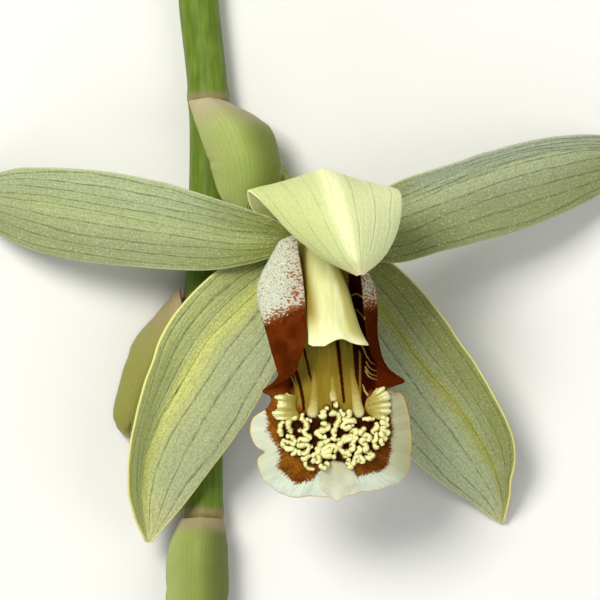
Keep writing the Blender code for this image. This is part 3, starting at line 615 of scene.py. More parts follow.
lipLook = dict(
    rimLeft=[(-0.35, 6.5, 14.2), (-0.25, 5.7, 14.8), (-0.15, 4.8, 15.4), (0.05, 3.55, 16.1),
        (0.25, 2.2, 16.8), (0.42, 0.7, 17.5), (0.55, -0.9, 18.1), (0.65, -2.3, 18.5),
        (0.65, -3.6, 18.7), (0.45, -4.75, 18.65), (0, -5.9, 18.3), (-0.7, -7.4, 17.4),
        (-3.2, -8.95, 16.6), (-2.9, -9.4, 16), (-2.85, -10, 15.4), (-3.4, -10.85, 15),
        (-4.6, -11.65, 14.7), (-4.95, -12.8, 14.5), (-4.6, -14.1, 14.2), (-3.85, -15.05, 14),
        (-4.25, -15.9, 13.6), (-4.1, -16.7, 13.4), (-3.85, -17.45, 13), (-3.5, -18.1, 12.7),
        (-2.9, -18.65, 12.4)],
    wallLeft=[(-2, 5.6, 12.2), (-4, 1.2, 13.4), (-2.8, -3.7, 16), (-1.9, -8, 16.3),
        (-2.3, -12, 15.1), (-2, -15.8, 14.4), (-0.9, -19.5, 12.8)],
    floorLeft=[(-0.7, 4.4, 11.1), (-2.2, 0.4, 12), (-1.9, -4.4, 14.5), (-0.8, -8.8, 15.4),
        (0.3, -12.3, 15.3), (0.6, -16.1, 14.8), (1.4, -19.5, 13.2)],
    spine=[(1.2, 4, 10.6), (1.8, -0.2, 12), (2.6, -4.8, 14.6), (2.9, -9.2, 15.4),
        (3.2, -12.6, 15.4), (3.5, -16.4, 14.9), (3.75, -19.6, 13.4)],
    floorRight=[(3, 4.3, 11.1), (5, 0.4, 12.1), (5.8, -4.4, 14.6), (6.4, -8.7, 15.4),
        (6.2, -12.2, 15.3), (6.2, -16, 14.8), (6, -19.1, 13.3)],
    wallRight=[(4.2, 5.3, 12.2), (7.2, 1.2, 13.8), (7.5, -3.6, 16), (8.3, -7.6, 16.2),
        (8.6, -11.8, 15), (8.5, -15.6, 14.2), (8, -18.85, 12.9)],
    rimRight=[(3.6, 6.3, 13.6), (4.5, 5.55, 14.2), (5.3, 4.6, 14.8), (5.7, 3.6, 15.5),
        (6, 2.4, 16.2), (6.2, 0.8, 16.9), (6.3, -0.9, 17.5), (6.45, -2.3, 18), (6.6, -3.6, 18.3),
        (6.85, -4.8, 18.1), (7.3, -5.8, 17.7), (8.8, -6.95, 17.3), (10.15, -8.05, 16.7),
        (8.9, -8.75, 15.9), (10, -9.3, 15.1), (10.45, -10.3, 14.7), (10.8, -11.6, 14.4),
        (10.95, -12.6, 14.2), (11.05, -13.6, 14), (11.05, -14.5, 13.7), (10.95, -15.5, 13.4),
        (10.85, -16.4, 13.1), (10.6, -17.1, 12.8), (10.2, -17.7, 12.6), (9.6, -18.2, 12.4)],
    rows=260, columns=150, thickness=0.42, frontFrom=-9.0, frontRun=1.5,
    # pleats and frill of the front margin: how high, and how many to a full turn
    finePleats=(0.012, 58), pleats=(0.03, 23), frillHeight=0.13,
    # outlines of the brown patch and of the lobule at the tip, as the camera sees them
    patch=[(-6, -7), (-4.2, -9.2), (-3.5, -10.8), (-3.2, -12.1), (-3.3, -13), (-2.9, -13.8),
        (-2.2, -14.6), (-2, -15.5), (-2.2, -16.6), (-1.6, -17.2), (-1.1, -17.7), (-0.4, -18.3),
        (0.5, -18.1), (1.4, -17.8), (1.9, -17), (5.2, -17), (5.7, -17.7), (6.5, -17.5),
        (7.3, -17.2), (8.1, -17), (8.7, -16.5), (9, -15.5), (9.1, -14.6), (9, -13.8), (9.2, -13),
        (9.1, -11.5), (8.9, -10), (8.9, -9.4), (8.6, -9), (8.8, -8.6), (9.4, -8.4), (12, -8),
        (12, -6), (-6, -6)],
    lobule=[(3.3, -16), (2.3, -16.5), (1.9, -17.4), (1.8, -18.3), (2.3, -19.1), (3.1, -19.7),
        (3.8, -20.6), (4.6, -19.7), (5.3, -19), (5.6, -18.1), (5.4, -17.4), (4.6, -16.3)],
    # the patch's centre, then the centre and reach of the painted shade under the crest
    patchCentre=(3.35, -13.2), crestShade=(3.3, -13.4), crestShadeReach=(5.2, 3.0),
    # local pushes of the sheet: where, by how much, how wide, and how far in from the rim
    pushes=[((-3.2, -8.9), (-0.45, 0, 0.3), 0.6, 9), ((3.75, -19.9), (0, -0.55, 0), 0.5, 9),
        ((10.2, -8.1), (0.2, 0, 0.2), 0.5, 9), ((-3.85, -15.1), (0.35, 0.05, 0.2), 0.35, 9)],
    # lines seen on the floor and inner faces, each with its width at both ends
    stripes=[([(-0.4, -7.2), (0, -8.5), (0.3, -10), (0.4, -11)], 0.4, 0.28),
        ([(0.4, -4.9), (1, -7.5), (1.5, -9), (1.75, -10.3)], 0.28, 0.2),
        ([(3.75, -4.3), (4.05, -7), (4.4, -10.2)], 0.4, 0.26),
        ([(5.6, -4.5), (5.7, -7), (5.75, -8.5), (5.9, -9.5)], 0.66, 0.16)],
    paleLines=[([(5.2, 0.4), (5.8, 0.6), (6.4, 0.2)], 0.16, 0.14),
        ([(5.7, -1), (6.2, -1.5), (6.7, -2.1)], 0.14, 0.1),
        ([(6.25, -4.5), (6.5, -5), (6.7, -5.5), (6.85, -5.8)], 0.18, 0.12),
        ([(6.9, -5.8), (7.15, -6.2), (7.6, -6.45)], 0.11, 0.04),
        ([(6.7, -6.2), (6.95, -6.65), (7.3, -6.95), (7.8, -7.1)], 0.12, 0.05),
        ([(6.6, -6.7), (6.9, -7.15), (7.25, -7.45), (7.8, -7.6)], 0.13, 0.05),
        ([(6.6, -7.1), (6.9, -7.6), (7.3, -7.85), (7.8, -7.95)], 0.14, 0.06),
        ([(6.3, -8.5), (6.5, -9.1), (6.9, -9.6), (7.4, -9.7)], 0.1, 0.3),
        ([(-0.9, -7.7), (-0.5, -8.6), (-0.3, -9.6)], 0.08, 0.14)])


def lineDistance(x, y, points):
    # distance from each place to a broken line, and how far along the line the nearest spot is
    points = np.asarray(points, float)
    best, spot = np.full(x.shape, 1e9), np.zeros(x.shape)
    for index, (start, end) in enumerate(zip(points, points[1:])):
        step = end - start
        part = np.clip(((x - start[0]) * step[0] + (y - start[1]) * step[1]) / (step @ step), 0, 1)
        gap = np.hypot(x - start[0] - part * step[0], y - start[1] - part * step[1])
        spot = np.where(gap < best, (index + part) / (len(points) - 1), spot)
        best = np.minimum(best, gap)
    return best, spot


def insideLine(x, y, points):
    # whether a place lies inside a closed line, by counting crossings to its right
    points = np.asarray(points, float)
    inside = np.zeros(x.shape, bool)
    for (x1, y1), (x2, y2) in zip(points, np.roll(points, -1, axis=0)):
        crosses = (y1 > y) != (y2 > y)
        where = x1 + (y - y1) * (x2 - x1) / (y2 - y1 if y2 != y1 else 1e-9)
        inside ^= crosses & (x < where)
    return inside


def lipGrid():
    # seven long lines, foot to front edge, and a smooth curve across them
    sides = ("rimLeft", "wallLeft", "floorLeft", "spine", "floorRight", "wallRight", "rimRight")
    lines = np.stack([throughPoints(lipLook[side], lipLook["rows"]) for side in sides])
    return throughPoints(lines, lipLook["columns"]).transpose(1, 0, 2)


def lipPaint():
    # red-brown side lobes powdered white above, an ochre floor with dark stripes, and a white
    # margin with fine rays round a brown patch whose edge is torn into fibres; painted shade
    # greys the margin's sides, darkens the floor further out, and darkens the patch under the
    # crest
    paint = Paint("lip skin", 0.6, Specular_IOR_Level=0.0)
    mix, rise, fall, noise, mark = paint.mix, paint.rise, paint.fall, paint.noise, paint.mark
    x, y = paint.x, paint.y
    big, fine = noise(0.6, 3), noise(5.0, 3)
    speck = fine - 0.5
    # the throat's floor runs on between the keels as far as the crest
    between = rise(x, -0.7, 0.5) * fall(x, 6.0, 7.0)
    lobe = rise(y + between * 2.4 + (fine + big * 2 - 1.5) * 0.9, -9.4, -8.6)
    # middle lobe
    patch = mark("patch")
    ray = noise(1.0, 2, paint.joined(mark("turn") * 40, patch * 0.8))
    # painted shade on the white margin: greyer down its sides, and darker still on the right,
    # where it turns away from the light
    side = rise(y + abs(x - 3.0) * 0.25, -17.2, -14.5)
    margin = mix(rise(ray + speck * 0.4, 0.35, 0.65), (206, 216, 195), (220, 231, 210))
    margin = mix(side * 0.5, margin, (190, 190, 158))
    margin = mix(rise(x + (y + 14) * 0.35, 5.5, 10.0) * side * 0.9, margin, (164, 162, 122))
    margin = mix(fall(mark("rim"), 0.05, 0.17) * 0.9, margin, (224, 186, 92))
    torn = patch + (ray - 0.5) * 0.8 + speck * 0.8 + (big - 0.5) * 0.5
    mottle = rise(fine * 0.45 + big * 0.35 + ray * 0.2, 0.38, 0.62)
    brown = mix(mottle, (98, 48, 10), (140, 88, 26))
    brown = mix(rise(x, 4.0, 8.5) * 0.6, brown, (82, 38, 8))
    # painted shade under and between the crest's worms: the brown darkens to near black round the
    # crest's middle
    crestShadeShare = fall(mark("crestShade") + speck * 0.8, -0.5, 0.4)
    middle = mix(rise(torn, -0.2, 0.2), mix(crestShadeShare * 0.92, brown, (42, 10, 6)), margin)
    lobule = mix(rise(big + speck * 0.3, 0.35, 0.65), (196, 198, 168), (214, 216, 188))
    lobule = mix(rise(y, -18.0, -16.2) * 0.6, lobule, (186, 180, 138))
    middle = mix(fall(mark("lobule") + speck * 0.2, -0.12, 0.12), middle, lobule)
    # outer faces of the side lobes: the powder thins out in dashes towards the brown
    onRight = rise(x, 3.0, 4.0)
    dashes = noise(1.0, 2, paint.joined(x * 3.0, y * 5.6, paint.z * 3.0))
    nearColumn = rise(x - y * 0.12, -2.6, -0.2)
    powder = (y + 1.05 - (x + 2.0) * 0.5).math("MINIMUM", 0.78 - nearColumn * 0.65)
    powder = powder * (1 - onRight) + (y * 0.6 - 0.3).math("MINIMUM", 0.05) * onRight
    thick = rise(powder + (dashes - 0.5) * 5.0, -0.4, 0.35)
    white = mix(rise(noise(7.0, 3), 0.35, 0.65), (172, 174, 152), (214, 218, 198))
    white = mix(nearColumn * 0.6, white, (178, 170, 156))
    rust = mix(rise(big + speck * 0.3, 0.3, 0.7), (72, 27, 4), (98, 42, 10))
    rust = mix(onRight * 0.85, rust, (60, 21, 3))
    rust = mix(rise(powder, -1.1, -0.1) * 0.75, rust, (148, 94, 48))
    # inner faces: dark, brown where the corners flare out, with traced pale lines
    flare = rise(x, 7.2, 7.8) * fall(y, -5.0, -4.0)
    flare = flare.math("MAXIMUM", fall(x, -1.4, -0.7))
    wall = mix(flare, (46, 8, 4), mix(0.4, rust, (92, 32, 4)))
    pale = fall(mark("pale") + speck * 0.04, -0.03, 0.05)
    wall = mix(pale * (0.9 - flare * 0.4), wall, (176, 160, 90))
    onFloor = rise(x, -0.75, -0.35) * fall(x - fall(y, -5.5, -3.5) * 1.2, 4.7, 4.95)
    grain = noise(1.0, 3, paint.joined(x * 2.0, y * 0.3))
    ochre = mix(rise(grain, 0.3, 0.75), (140, 118, 32), (168, 150, 62))
    # painted shade: the floor darker further out, towards the crest
    ochre = mix(fall(y, -7.5, -4.5) * 0.75, ochre, (122, 102, 30))
    stripe = fall(mark("stripe") + speck * 0.16, -0.05, 0.06)
    inside = mix(onFloor, wall, mix(stripe, ochre, (56, 16, 5)))
    paint.colour(mix(lobe, middle, mix(mark("inner"), mix(thick, rust, white), inside)))
    paint.bump(ray * 0.25 * (1 - lobe) + fine * 0.4 + thick * dashes * 0.6 * lobe, 0.06)
    return paint


def buildLip():
    # the grid, pushed at a few places and pleated at its front; its marks are distances from
    # the rim and from lines that are seen on it
    grid = lipGrid()
    for where, push, spread, depth in lipLook["pushes"]:
        gap = ((grid[..., :2] - where) ** 2).sum(-1)
        share = np.exp(-gap / spread**2 - (rimDistance(grid) / depth) ** 2)
        grid = grid + share[..., None] * np.array(push)
    turn = np.arctan2(grid[..., 1] - lipLook["patchCentre"][1],
                      grid[..., 0] - lipLook["patchCentre"][0])
    rim = rimDistance(grid)
    front = np.clip((lipLook["frontFrom"] - grid[..., 1]) / lipLook["frontRun"], 0, 1)
    (fineHigh, finePitch), (high, pitch) = lipLook["finePleats"], lipLook["pleats"]
    pleats = np.sin(turn * finePitch) * fineHigh + np.sin(turn * pitch + 1) * high
    frill = lipLook["frillHeight"] * waves(turn * 6, 8, 5) * np.clip(1 - rim / 2.5, 0, 1)
    lift = front * (pleats * np.clip(1.6 - rim / 3, 0, 1) + frill)
    grid = grid + normalsOf(grid) * lift[..., None]
    x, y = (grid[..., axis] * (cameraHeight - sharpPlane) / (cameraHeight - grid[..., 2])
            for axis in (0, 1))

    def signed(line):
        # distance to a closed line, less than 0 inside it
        gap = lineDistance(x, y, line + line[:1])[0]
        return np.where(insideLine(x, y, line), -gap, gap)

    def nearest(lines):
        # distance to the nearest line, less half the line's width there
        best = np.full(x.shape, 9.0)
        for line, start, end in lines:
            gap, spot = lineDistance(x, y, line)
            best = np.minimum(best, gap - (start + (end - start) * spot) / 2)
        return best

    # distance out from the middle of the painted shade under the crest
    (crestShadeX, crestShadeY), (wide, tall) = lipLook["crestShade"], lipLook["crestShadeReach"]
    crestShade = np.hypot((x - crestShadeX) / wide, (y - crestShadeY) / tall) * 3 - 3
    marks = {"rim": rim, "patch": signed(lipLook["patch"]), "lobule": signed(lipLook["lobule"]),
             "stripe": nearest(lipLook["stripes"]), "pale": nearest(lipLook["paleLines"]),
             "turn": turn, "crestShade": crestShade}
    thick = lipLook["thickness"] * (0.3 + 0.7 * np.clip(rim / 1.2, 0, 1) ** 0.6)
    piece = sheet("lip_detail", grid, thick, marks)
    finishPiece(piece, "lip", "lip_brown_white", lipPaint())
    return grid


lipSurface = buildLip()
print("lip made")

floorPoints = lipSurface[:, lipLook["columns"] // 4: -lipLook["columns"] // 4].reshape(-1, 3)
crestPoints = lipSurface[lipLook["rows"] // 2:].reshape(-1, 3)


def smoothed(values):
    # the mean of nine neighbours along a line
    return np.convolve(np.pad(values, 4, "edge"), np.ones(9) / 9, "valid")


def laid(line, count, height, surface, lift):
    # a line as the camera sees it, moved out to its height and laid over the nearest points of
    # the lip in plan
    path = throughPoints([(x, y, 0) for x, y in line], count)
    path[:, :2] *= (cameraHeight - height) / (cameraHeight - sharpPlane)
    gaps = ((path[:, None, :2] - surface[None, :, :2]) ** 2).sum(-1)
    path[:, 2] = smoothed(surface[np.argmin(gaps, axis=1), 2]) + lift
    return path


def creamPiece(name, parts, look):
    # the parts as one piece, in three colours from low down between them to their tops: painted
    # shade on the worms' sides and undersides and in the frills' furrows, and on the keels their
    # own whitening along them
    paint = Paint(name + " skin", Subsurface_Weight=0.15, Subsurface_Scale=0.0004)
    fine = paint.noise(6.0, 3)
    toneAndShade = paint.mark("toneAndShade") + (fine - 0.5) * 0.7
    low, high = look["ramp"]
    middle = (low + high) / 2
    colour = paint.mix(paint.rise(toneAndShade, low, middle), look["low"], look["middle"])
    paint.colour(paint.mix(paint.rise(toneAndShade, middle, high), colour, look["top"]))
    paint.rough(0.35 + fine * 0.2)
    paint.bump(fine, 0.04)
    finishPiece(joined(name + "_detail", parts), None, "lip_brown_white", paint)


# crest: each worm is the share of its radius and then the places x, y that it runs through
crest = dict(
    radius=0.3, tall=1.5, lift=0.42, knob=0.15, wart=0.05, sway=0.12, seed=12, sides=18,
    ringsPerMm=18, fewestRings=16, height=16.0,
    # from painted shade low on each worm, through olive on its sides, to its cream top
    low=(64, 34, 8), middle=(160, 144, 68), top=(236, 232, 168), ramp=(-0.1, 1.0),
    worms=[(1, -1.6, -12.1, -1.9, -12.5, -2, -13, -1.85, -13.55),
        (1.05, -1.1, -12.1, -1.2, -12.5, -1, -13, -0.8, -13.4),
        (1, -1.4, -13.6, -0.9, -13.7, -0.6, -14, -0.4, -14.3),
        (0.9, -1.8, -14, -1.3, -14.2, -0.9, -14.3, -0.5, -14.5),
        (1.05, -1.9, -14.1, -1.6, -14.6, -1.2, -14.9, -0.7, -14.9, -0.5, -15.2, -0.8, -15.5),
        (0.95, 0.3, -11.3, 0.2, -11.8, 0.5, -12.2, 0.7, -12.7, 0.4, -13.1, 0.6, -13.5, 0.9, -13.7,
         0.7, -14, 0.1, -13.9, -0.1, -14.1),
        (0.95, -0.2, -14.2, 0, -14.6, 0.6, -14.4, 0.85, -14.8, 0.6, -15.3, 0, -15.3, -0.2, -15),
        (0.8, 0.4, -14.4, 0.9, -14.6, 1.1, -14.7),
        (0.9, 0.1, -15.8, 0.5, -15.9, 0.8, -15.6, 1, -15.8),
        (1, 1.6, -14.7, 1.8, -15.2, 1.4, -15.5, 1.8, -15.6, 1.9, -16, 1.4, -16, 1.3, -16.4),
        (0.75, 0.5, -16.1, 0.6, -16.6, 1, -16.9, 1.5, -16.9),
        (1.35, 2, -11.9, 2.2, -11.6, 2.7, -11.5),
        (1.05, 2.1, -12.3, 2.7, -12.5, 2.75, -12.9, 2, -13.1, 1.8, -13.4, 2.2, -13.7, 2.7, -13.6),
        (1.1, 3, -13.9, 2.6, -14.2, 2.2, -14.3, 2, -14.7, 2.4, -14.9, 2.9, -14.6, 3.1, -15, 2.6,
         -15.2, 2.1, -15.3, 2.6, -15.6, 3.1, -15.5),
        (0.9, 1.7, -15.8, 1.9, -16.2, 2.1, -16.6, 2.5, -16.8, 2.75, -16.4, 2.4, -16.3),
        (1.3, 3.3, -10.5, 3.6, -10.5), (0.9, 2.8, -10.6, 2.6, -11), (0.9, 2.1, -11.3, 2.6, -11.1),
        (0.9, 4, -10.9, 4.3, -11.4, 4.6, -11.3), (0.8, 0.6, -11.9, 1.1, -12.1),
        (0.8, 0.2, -12.9, -0.2, -13.2), (0.9, 3.2, -14.5, 3.6, -14.8, 3.4, -15.3),
        (0.9, 3.5, -15.8, 3.2, -15.5),
        (1, 3, -11.5, 3.4, -11.3, 3.8, -11.5, 3.9, -12, 3.7, -12.4, 3.5, -12.9, 3.3, -13.3, 3.5,
         -13.6),
        (0.8, 3.1, -13.8, 3.7, -14, 4.3, -14),
        (1, 4.9, -11, 4.9, -11.6, 4.5, -12, 5.3, -12.1, 4.6, -12.2, 4.3, -12.6, 4.7, -12.8, 5.4,
         -12.4),
        (1.1, 4.9, -13.1, 5.6, -13.1, 5.3, -13.6, 4.6, -13.7, 4.4, -14, 5, -13.9, 5.6, -13.8, 5.2,
         -14.3),
        (1, 4.4, -14.1, 3.9, -14.5, 4, -14.9, 4.5, -15.3, 5.1, -15, 5.4, -14.6, 4.9, -14.3),
        (0.9, 4.2, -15.5, 4.7, -15.6, 5.1, -15.3), (0.9, 4.8, -15.8, 4.9, -16.2, 4.6, -16.4),
        (1, 5.8, -14.6, 6, -15, 5.7, -15.3, 6, -15.6, 6.3, -16, 5.9, -16.1, 5.6, -15.7, 5.4,
         -16.2, 5.2, -16.6, 4.8, -16.8),
        (1, 6.6, -12.7, 6.3, -13, 6, -13.3, 6.4, -13.5, 6.9, -13.6, 6.9, -13.9, 6.3, -14, 6.1,
         -14.2, 6.5, -14.5, 6.7, -14.8, 6.5, -15, 6.9, -15.3, 7.3, -15.6, 6.8, -15.8, 6.4, -15.6),
        (0.95, 7.6, -12.2, 7.7, -12.7, 7.3, -13.1, 7.6, -13.4, 7.6, -13.9, 7.4, -14.2, 7.6, -14.7,
         7.8, -14.7),
        (0.95, 8.2, -11.7, 8.6, -11.9, 8.2, -12.2, 8.7, -12.5, 8.1, -12.9, 8.7, -13.2, 8.1, -13.4,
         8.5, -13.8, 8.1, -14, 8.2, -14.4),
        (0.9, -0.3, -11.7, -0.8, -11.9, -1.4, -12), (0.8, 6.2, -11.9, 6.9, -11.9, 7.5, -11.9)])

# frills: pleated flaps at the crest's upper corners, each from a line on the lip outward
frills = dict(
    left=dict(
        folds=4.2, inner=[(-0.3, -9.6), (-0.5, -10.2), (-0.4, -11), (0, -11.6), (0.2, -12)],
        outer=[(-1.3, -9.4), (-2.3, -9.7), (-2, -10.4), (-2.5, -11.1), (-2.5, -11.7),
            (-1.5, -12)]),
    right=dict(
        folds=5.2, inner=[(6.8, -9.9), (6.6, -10.4), (6.6, -10.8), (6.8, -11.2), (7.2, -11.7)],
        outer=[(7.6, -8.9), (8.4, -8.9), (8.9, -9.9), (8.9, -10.7), (8.8, -11.4), (8.2, -12)]),
    rows=150, columns=30, height=16.2, lift=0.2, thickness=0.26, arch=0.45, pleat=0.17,
    # low and middle colours: painted shade in the pleats' furrows, and the floor's ochre at the
    # inner line
    low=(142, 124, 42), middle=(176, 164, 84), top=(234, 230, 170), ramp=(-0.1, 0.8))

# keels: the places x, y that each runs through, with half its width there
keels = dict(
    lines=[[(1.35, -6.6, 0.1), (1.45, -8.6, 0.33), (1.4, -10.4, 0.4), (1.3, -11.2, 0.52),
           (1.35, -11.8, 0.4)],
           [(3.2, -7.4, 0.15), (3.3, -8.8, 0.26), (3.3, -9.6, 0.32), (3.4, -10.2, 0.26)],
           [(5, -5.8, 0.1), (5.25, -7.6, 0.25), (5.5, -9, 0.36), (5.7, -10.3, 0.42),
            (5.85, -11.2, 0.5), (5.8, -11.8, 0.36)]],
    rings=60, sides=16, height=15.5, lift=0.1, tall=0.7, plump=1.2,
    low=(148, 128, 40), middle=(184, 172, 98), top=(214, 208, 160), ramp=(-0.1, 0.75))


def buildCrest():
    # worms: rods taller than wide that follow their lines and swell into irregular knobs
    chance = np.random.default_rng(crest["seed"])
    parts, sides = [], crest["sides"]
    ring = np.sin(np.linspace(0, 2 * math.pi, sides, endpoint=False))
    for share, *places in crest["worms"]:
        line = list(zip(places[::2], places[1::2]))
        length = sum(math.dist(a, b) for a, b in zip(line, line[1:]))
        count = max(crest["fewestRings"], int(length * crest["ringsPerMm"]))
        path = laid(line, count, crest["height"], crestPoints, crest["lift"])
        run = np.linspace(0, length, count)
        turn = chance.uniform(0, 6)
        path[:, 2] += crest["sway"] * np.sin(run * 5.5 + turn)
        knob = (1 + crest["knob"] * np.sin(run * 9 + 2 * turn)
                + 0.7 * crest["knob"] * np.sin(run * 17 + 5 * turn))

        def warts(angle, along, turn=turn, length=length):
            # the product of two sines that wind round the worm in opposite ways
            return crest["wart"] * (np.sin(3 * angle + along * length * 7 + turn)
                                    * np.sin(2 * angle - along * length * 11 + 3 * turn))

        ends = np.sqrt(np.clip(1 - np.abs(2 * run / length - 1) ** (length * 5 + 2), 0.03, 1))
        radius = crest["radius"] * share * knob * ends
        # round each worm: its top takes the cream, its sides and underside the painted shade
        toneAndShade = np.concatenate([np.tile(ring, count), [0, 0]])
        parts.append(rod("worm", path, radius, sides, warts, {"toneAndShade": toneAndShade}, crest["tall"]))
    creamPiece("crest", parts, crest)


def buildKeels():
    # low ridges along the floor that widen and whiten towards the crest
    parts, sides, count = [], keels["sides"], keels["rings"]
    run = np.linspace(0, 1, count)
    toneAndShade = np.concatenate([np.repeat(run, sides), [0, 1]]) * 1.3 - 0.5
    for line in keels["lines"]:
        path = laid([(x, y) for x, y, half in line], count, keels["height"], floorPoints,
                    keels["lift"])
        half = throughPoints(line, count)[:, 2]
        ends = np.sqrt(np.clip(1 - np.abs(2 * run - 1) ** 9, 0.02, 1))
        radius = keels["plump"] * half * ends
        parts.append(rod("keel", path, radius, sides, None, {"toneAndShade": toneAndShade}, keels["tall"]))
    creamPiece("keels", parts, keels)


def buildFrills():
    # a sheet from the inner line to the outer line; its pleats grow outward as a sine of the
    # place along it, and each ridge reaches further out than the furrows beside it
    parts = []
    share = np.linspace(0, 1, frills["columns"])[None, :]
    for side in (frills["left"], frills["right"]):
        inner, outer = (laid(side[line], frills["rows"], frills["height"], crestPoints,
                             frills["lift"]) for line in ("inner", "outer"))
        grid = inner[:, None] + (outer - inner)[:, None] * share[..., None]
        turn = np.linspace(0, 1, frills["rows"])[:, None] * side["folds"] * 2 * math.pi + 1.2
        turn = turn + 0.7 * np.sin(turn * 0.53 + 2) + 0.5 * np.sin(share * 3)
        wave = np.cos(turn) * 0.7 + 0.3 * np.cos(turn * 2.7 + 1)
        grid[..., 2] += (frills["arch"] * np.sin(share * 2.2)
                         + frills["pleat"] * wave * share**1.6 - frills["arch"] * share**8)
        away = unit(outer - inner)[:, None]
        grid = grid + (frills["pleat"] * wave * share**2.5)[..., None] * away
        # lighter on the pleats' ridges and further out, darker in the furrows as painted shade,
        # blending into the floor's ochre at the inner line
        toneAndShade = share**1.4 * (0.72 + 0.4 * wave)
        parts.append(sheet("frill", grid, frills["thickness"], {"toneAndShade": toneAndShade}))
    creamPiece("frills", parts, frills)


buildCrest()
buildKeels()
buildFrills()
print("crest, keels and frills made")


# column and what its tip holds

# each station is x, y, z, then half the width, the back's height, the belly's, and the lean
column = dict(
    axis=(0, -9.9, 8.7), rows=120, sides=72, wing=0.35, inset=0.2, edgeFrom=0.78,
    edgeRipple=0.12, creaseDepth=0.3, creaseAt=1.2, creaseWidth=0.2,
    stations=[(1.15, 5.9, 11.4, 1.35, 0.9, 0.35, 0), (1.75, 3.6, 13.2, 1.9, 1.3, 0.6, 0),
        (2.5, 1.1, 15.4, 2.27, 1.4, 0.5, 0), (3.03, -1.3, 17.4, 2.44, 1.6, -0.9, 0.2),
        (3.4, -3, 18.9, 2.62, 1.8, -1.4, 0.5), (3.8, -4.25, 19.9, 2.98, 1.9, -1.6, 0.6)],
    edge=[(0.8, -4.35), (1.25, -4.55), (2.4, -4.55), (3, -4.2), (3.8, -3.8), (4.3, -3.85),
        (5, -4.2), (5.7, -4.4), (6.7, -4.5), (6.95, -4.2)])


def columnDirections():
    # along the axis, to the right, and out of the back
    along, lateral = unit(np.array(column["axis"])), np.array([1.0, 0.0, 0.0])
    return along, lateral, np.cross(along, lateral)


def columnPaint():
    # cream, ochre on both flanks as painted shade and towards the foot, with a pale tip and a
    # yellow edge
    paint = Paint("column skin", Subsurface_Weight=0.25, Subsurface_Scale=0.001)
    mix, rise, fall, noise = paint.mix, paint.rise, paint.fall, paint.noise
    around, run = paint.acrossAlong()
    fine, big, rim = noise(5.0, 3), noise(0.5), paint.mark("rim")
    streak = noise(2.4, 3, paint.joined(paint.x, paint.y * 0.1, paint.z * 0.1))
    colour = mix(rise(streak, 0.3, 0.7), (220, 222, 158), (230, 234, 178))
    # painted shade down the right flank, in dull olive
    right = fall(around + (streak - 0.5) * 0.06, -0.72, -0.6)
    colour = mix(right * 0.9, colour, (172, 164, 88))
    # painted shade on the left flank, in ochre, where it curves away under the side lobe's rim
    left = rise(around, -0.42, -0.2) * fall(run, 0.6, 0.92)
    colour = mix(left * 0.95, colour, (150, 124, 34))
    colour = mix(fall(rim + (big - 0.5) * 0.6, 0.2, 1.6) * 0.7, colour, (238, 240, 196))
    colour = mix(fall(rim, 0.04, 0.16) * 0.6, colour, (224, 200, 110))
    colour = mix(fall(run + (big - 0.5) * 0.1, 0.1, 0.5) * 0.4, colour, (196, 180, 90))
    paint.colour(colour)
    paint.rough(0.32 + fine * 0.2)
    paint.bump(fine * 0.6 + streak * 0.4, 0.03)
    return paint


def buildColumn():
    # a rod, round on its back, whose tip opens under into a winged hood; the back and the
    # belly are two halves of each ring, and the front edge follows a scalloped line
    along, lateral, dorsal = columnDirections()
    stations = throughPoints(column["stations"], column["rows"])
    half = column["sides"] // 2
    sweep = np.linspace(0, math.pi, half)
    centre = stations[:, None, :3]
    width, back, belly, lean = (stations[:, None, None, i] for i in range(3, 7))
    arc, bulge = (wave(sweep)[None, :, None] for wave in (np.cos, np.sin))
    place = np.linspace(0, 1, column["rows"])[:, None, None]
    crease = np.exp(-((sweep - column["creaseAt"]) / column["creaseWidth"]) ** 2)
    groove = column["creaseDepth"] * crease[None, :, None] * np.clip(place * 1.6 - 0.5, 0, 1)
    upper = (centre + width * arc * lateral + (back * bulge - groove) * dorsal
             + lean * bulge * along)
    lower = (centre - (width - column["inset"]) * arc * lateral
             - (column["wing"] + belly * bulge) * dorsal + lean * bulge * along)
    rings = np.concatenate([upper, lower], axis=1)
    # the last part is drawn out to the scalloped edge
    edge = np.asarray(column["edge"])
    share = np.clip((place[..., 0] - column["edgeFrom"]) / (1 - column["edgeFrom"]), 0, 1)
    share = share * share * (3 - 2 * share)
    target = np.interp(rings[-1, :, 0], edge[:, 0], edge[:, 1])
    rings[..., 1] += share * (target - rings[-1, :, 1])[None]
    rings[..., 2] += share * column["edgeRipple"] * np.sin(rings[-1, :, 0] * 3.2)[None]
    count, size = rings.shape[:2]
    sides = np.roll(tubeFaces(count, size)[0][:, ::-1], 1, axis=1)
    strip = np.arange(half - 1)
    cap = np.stack([strip, strip + 1, size - 2 - strip, size - 1 - strip], -1)
    v, u = np.meshgrid(np.linspace(0, 1, count), np.linspace(0, 1, size), indexing="ij")
    piece = putMesh("column_detail", rings.reshape(-1, 3),
                    np.concatenate([sides, cap[:, ::-1], cap + (count - 1) * size]), [],
                    np.stack([u, v], -1).reshape(-1, 2),
                    {"rim": np.linalg.norm(rings - rings[-1:], axis=-1)})
    return finishPiece(piece, "column", "column_cream", columnPaint())


anther = dict(seat=(3.4, -2.7, 18.5), cap=(0.75, 1.5, 0.42), drop=1.0, pinch=0.06, spread=0.28,
              mass=(0.42, 0.4, 0.28))


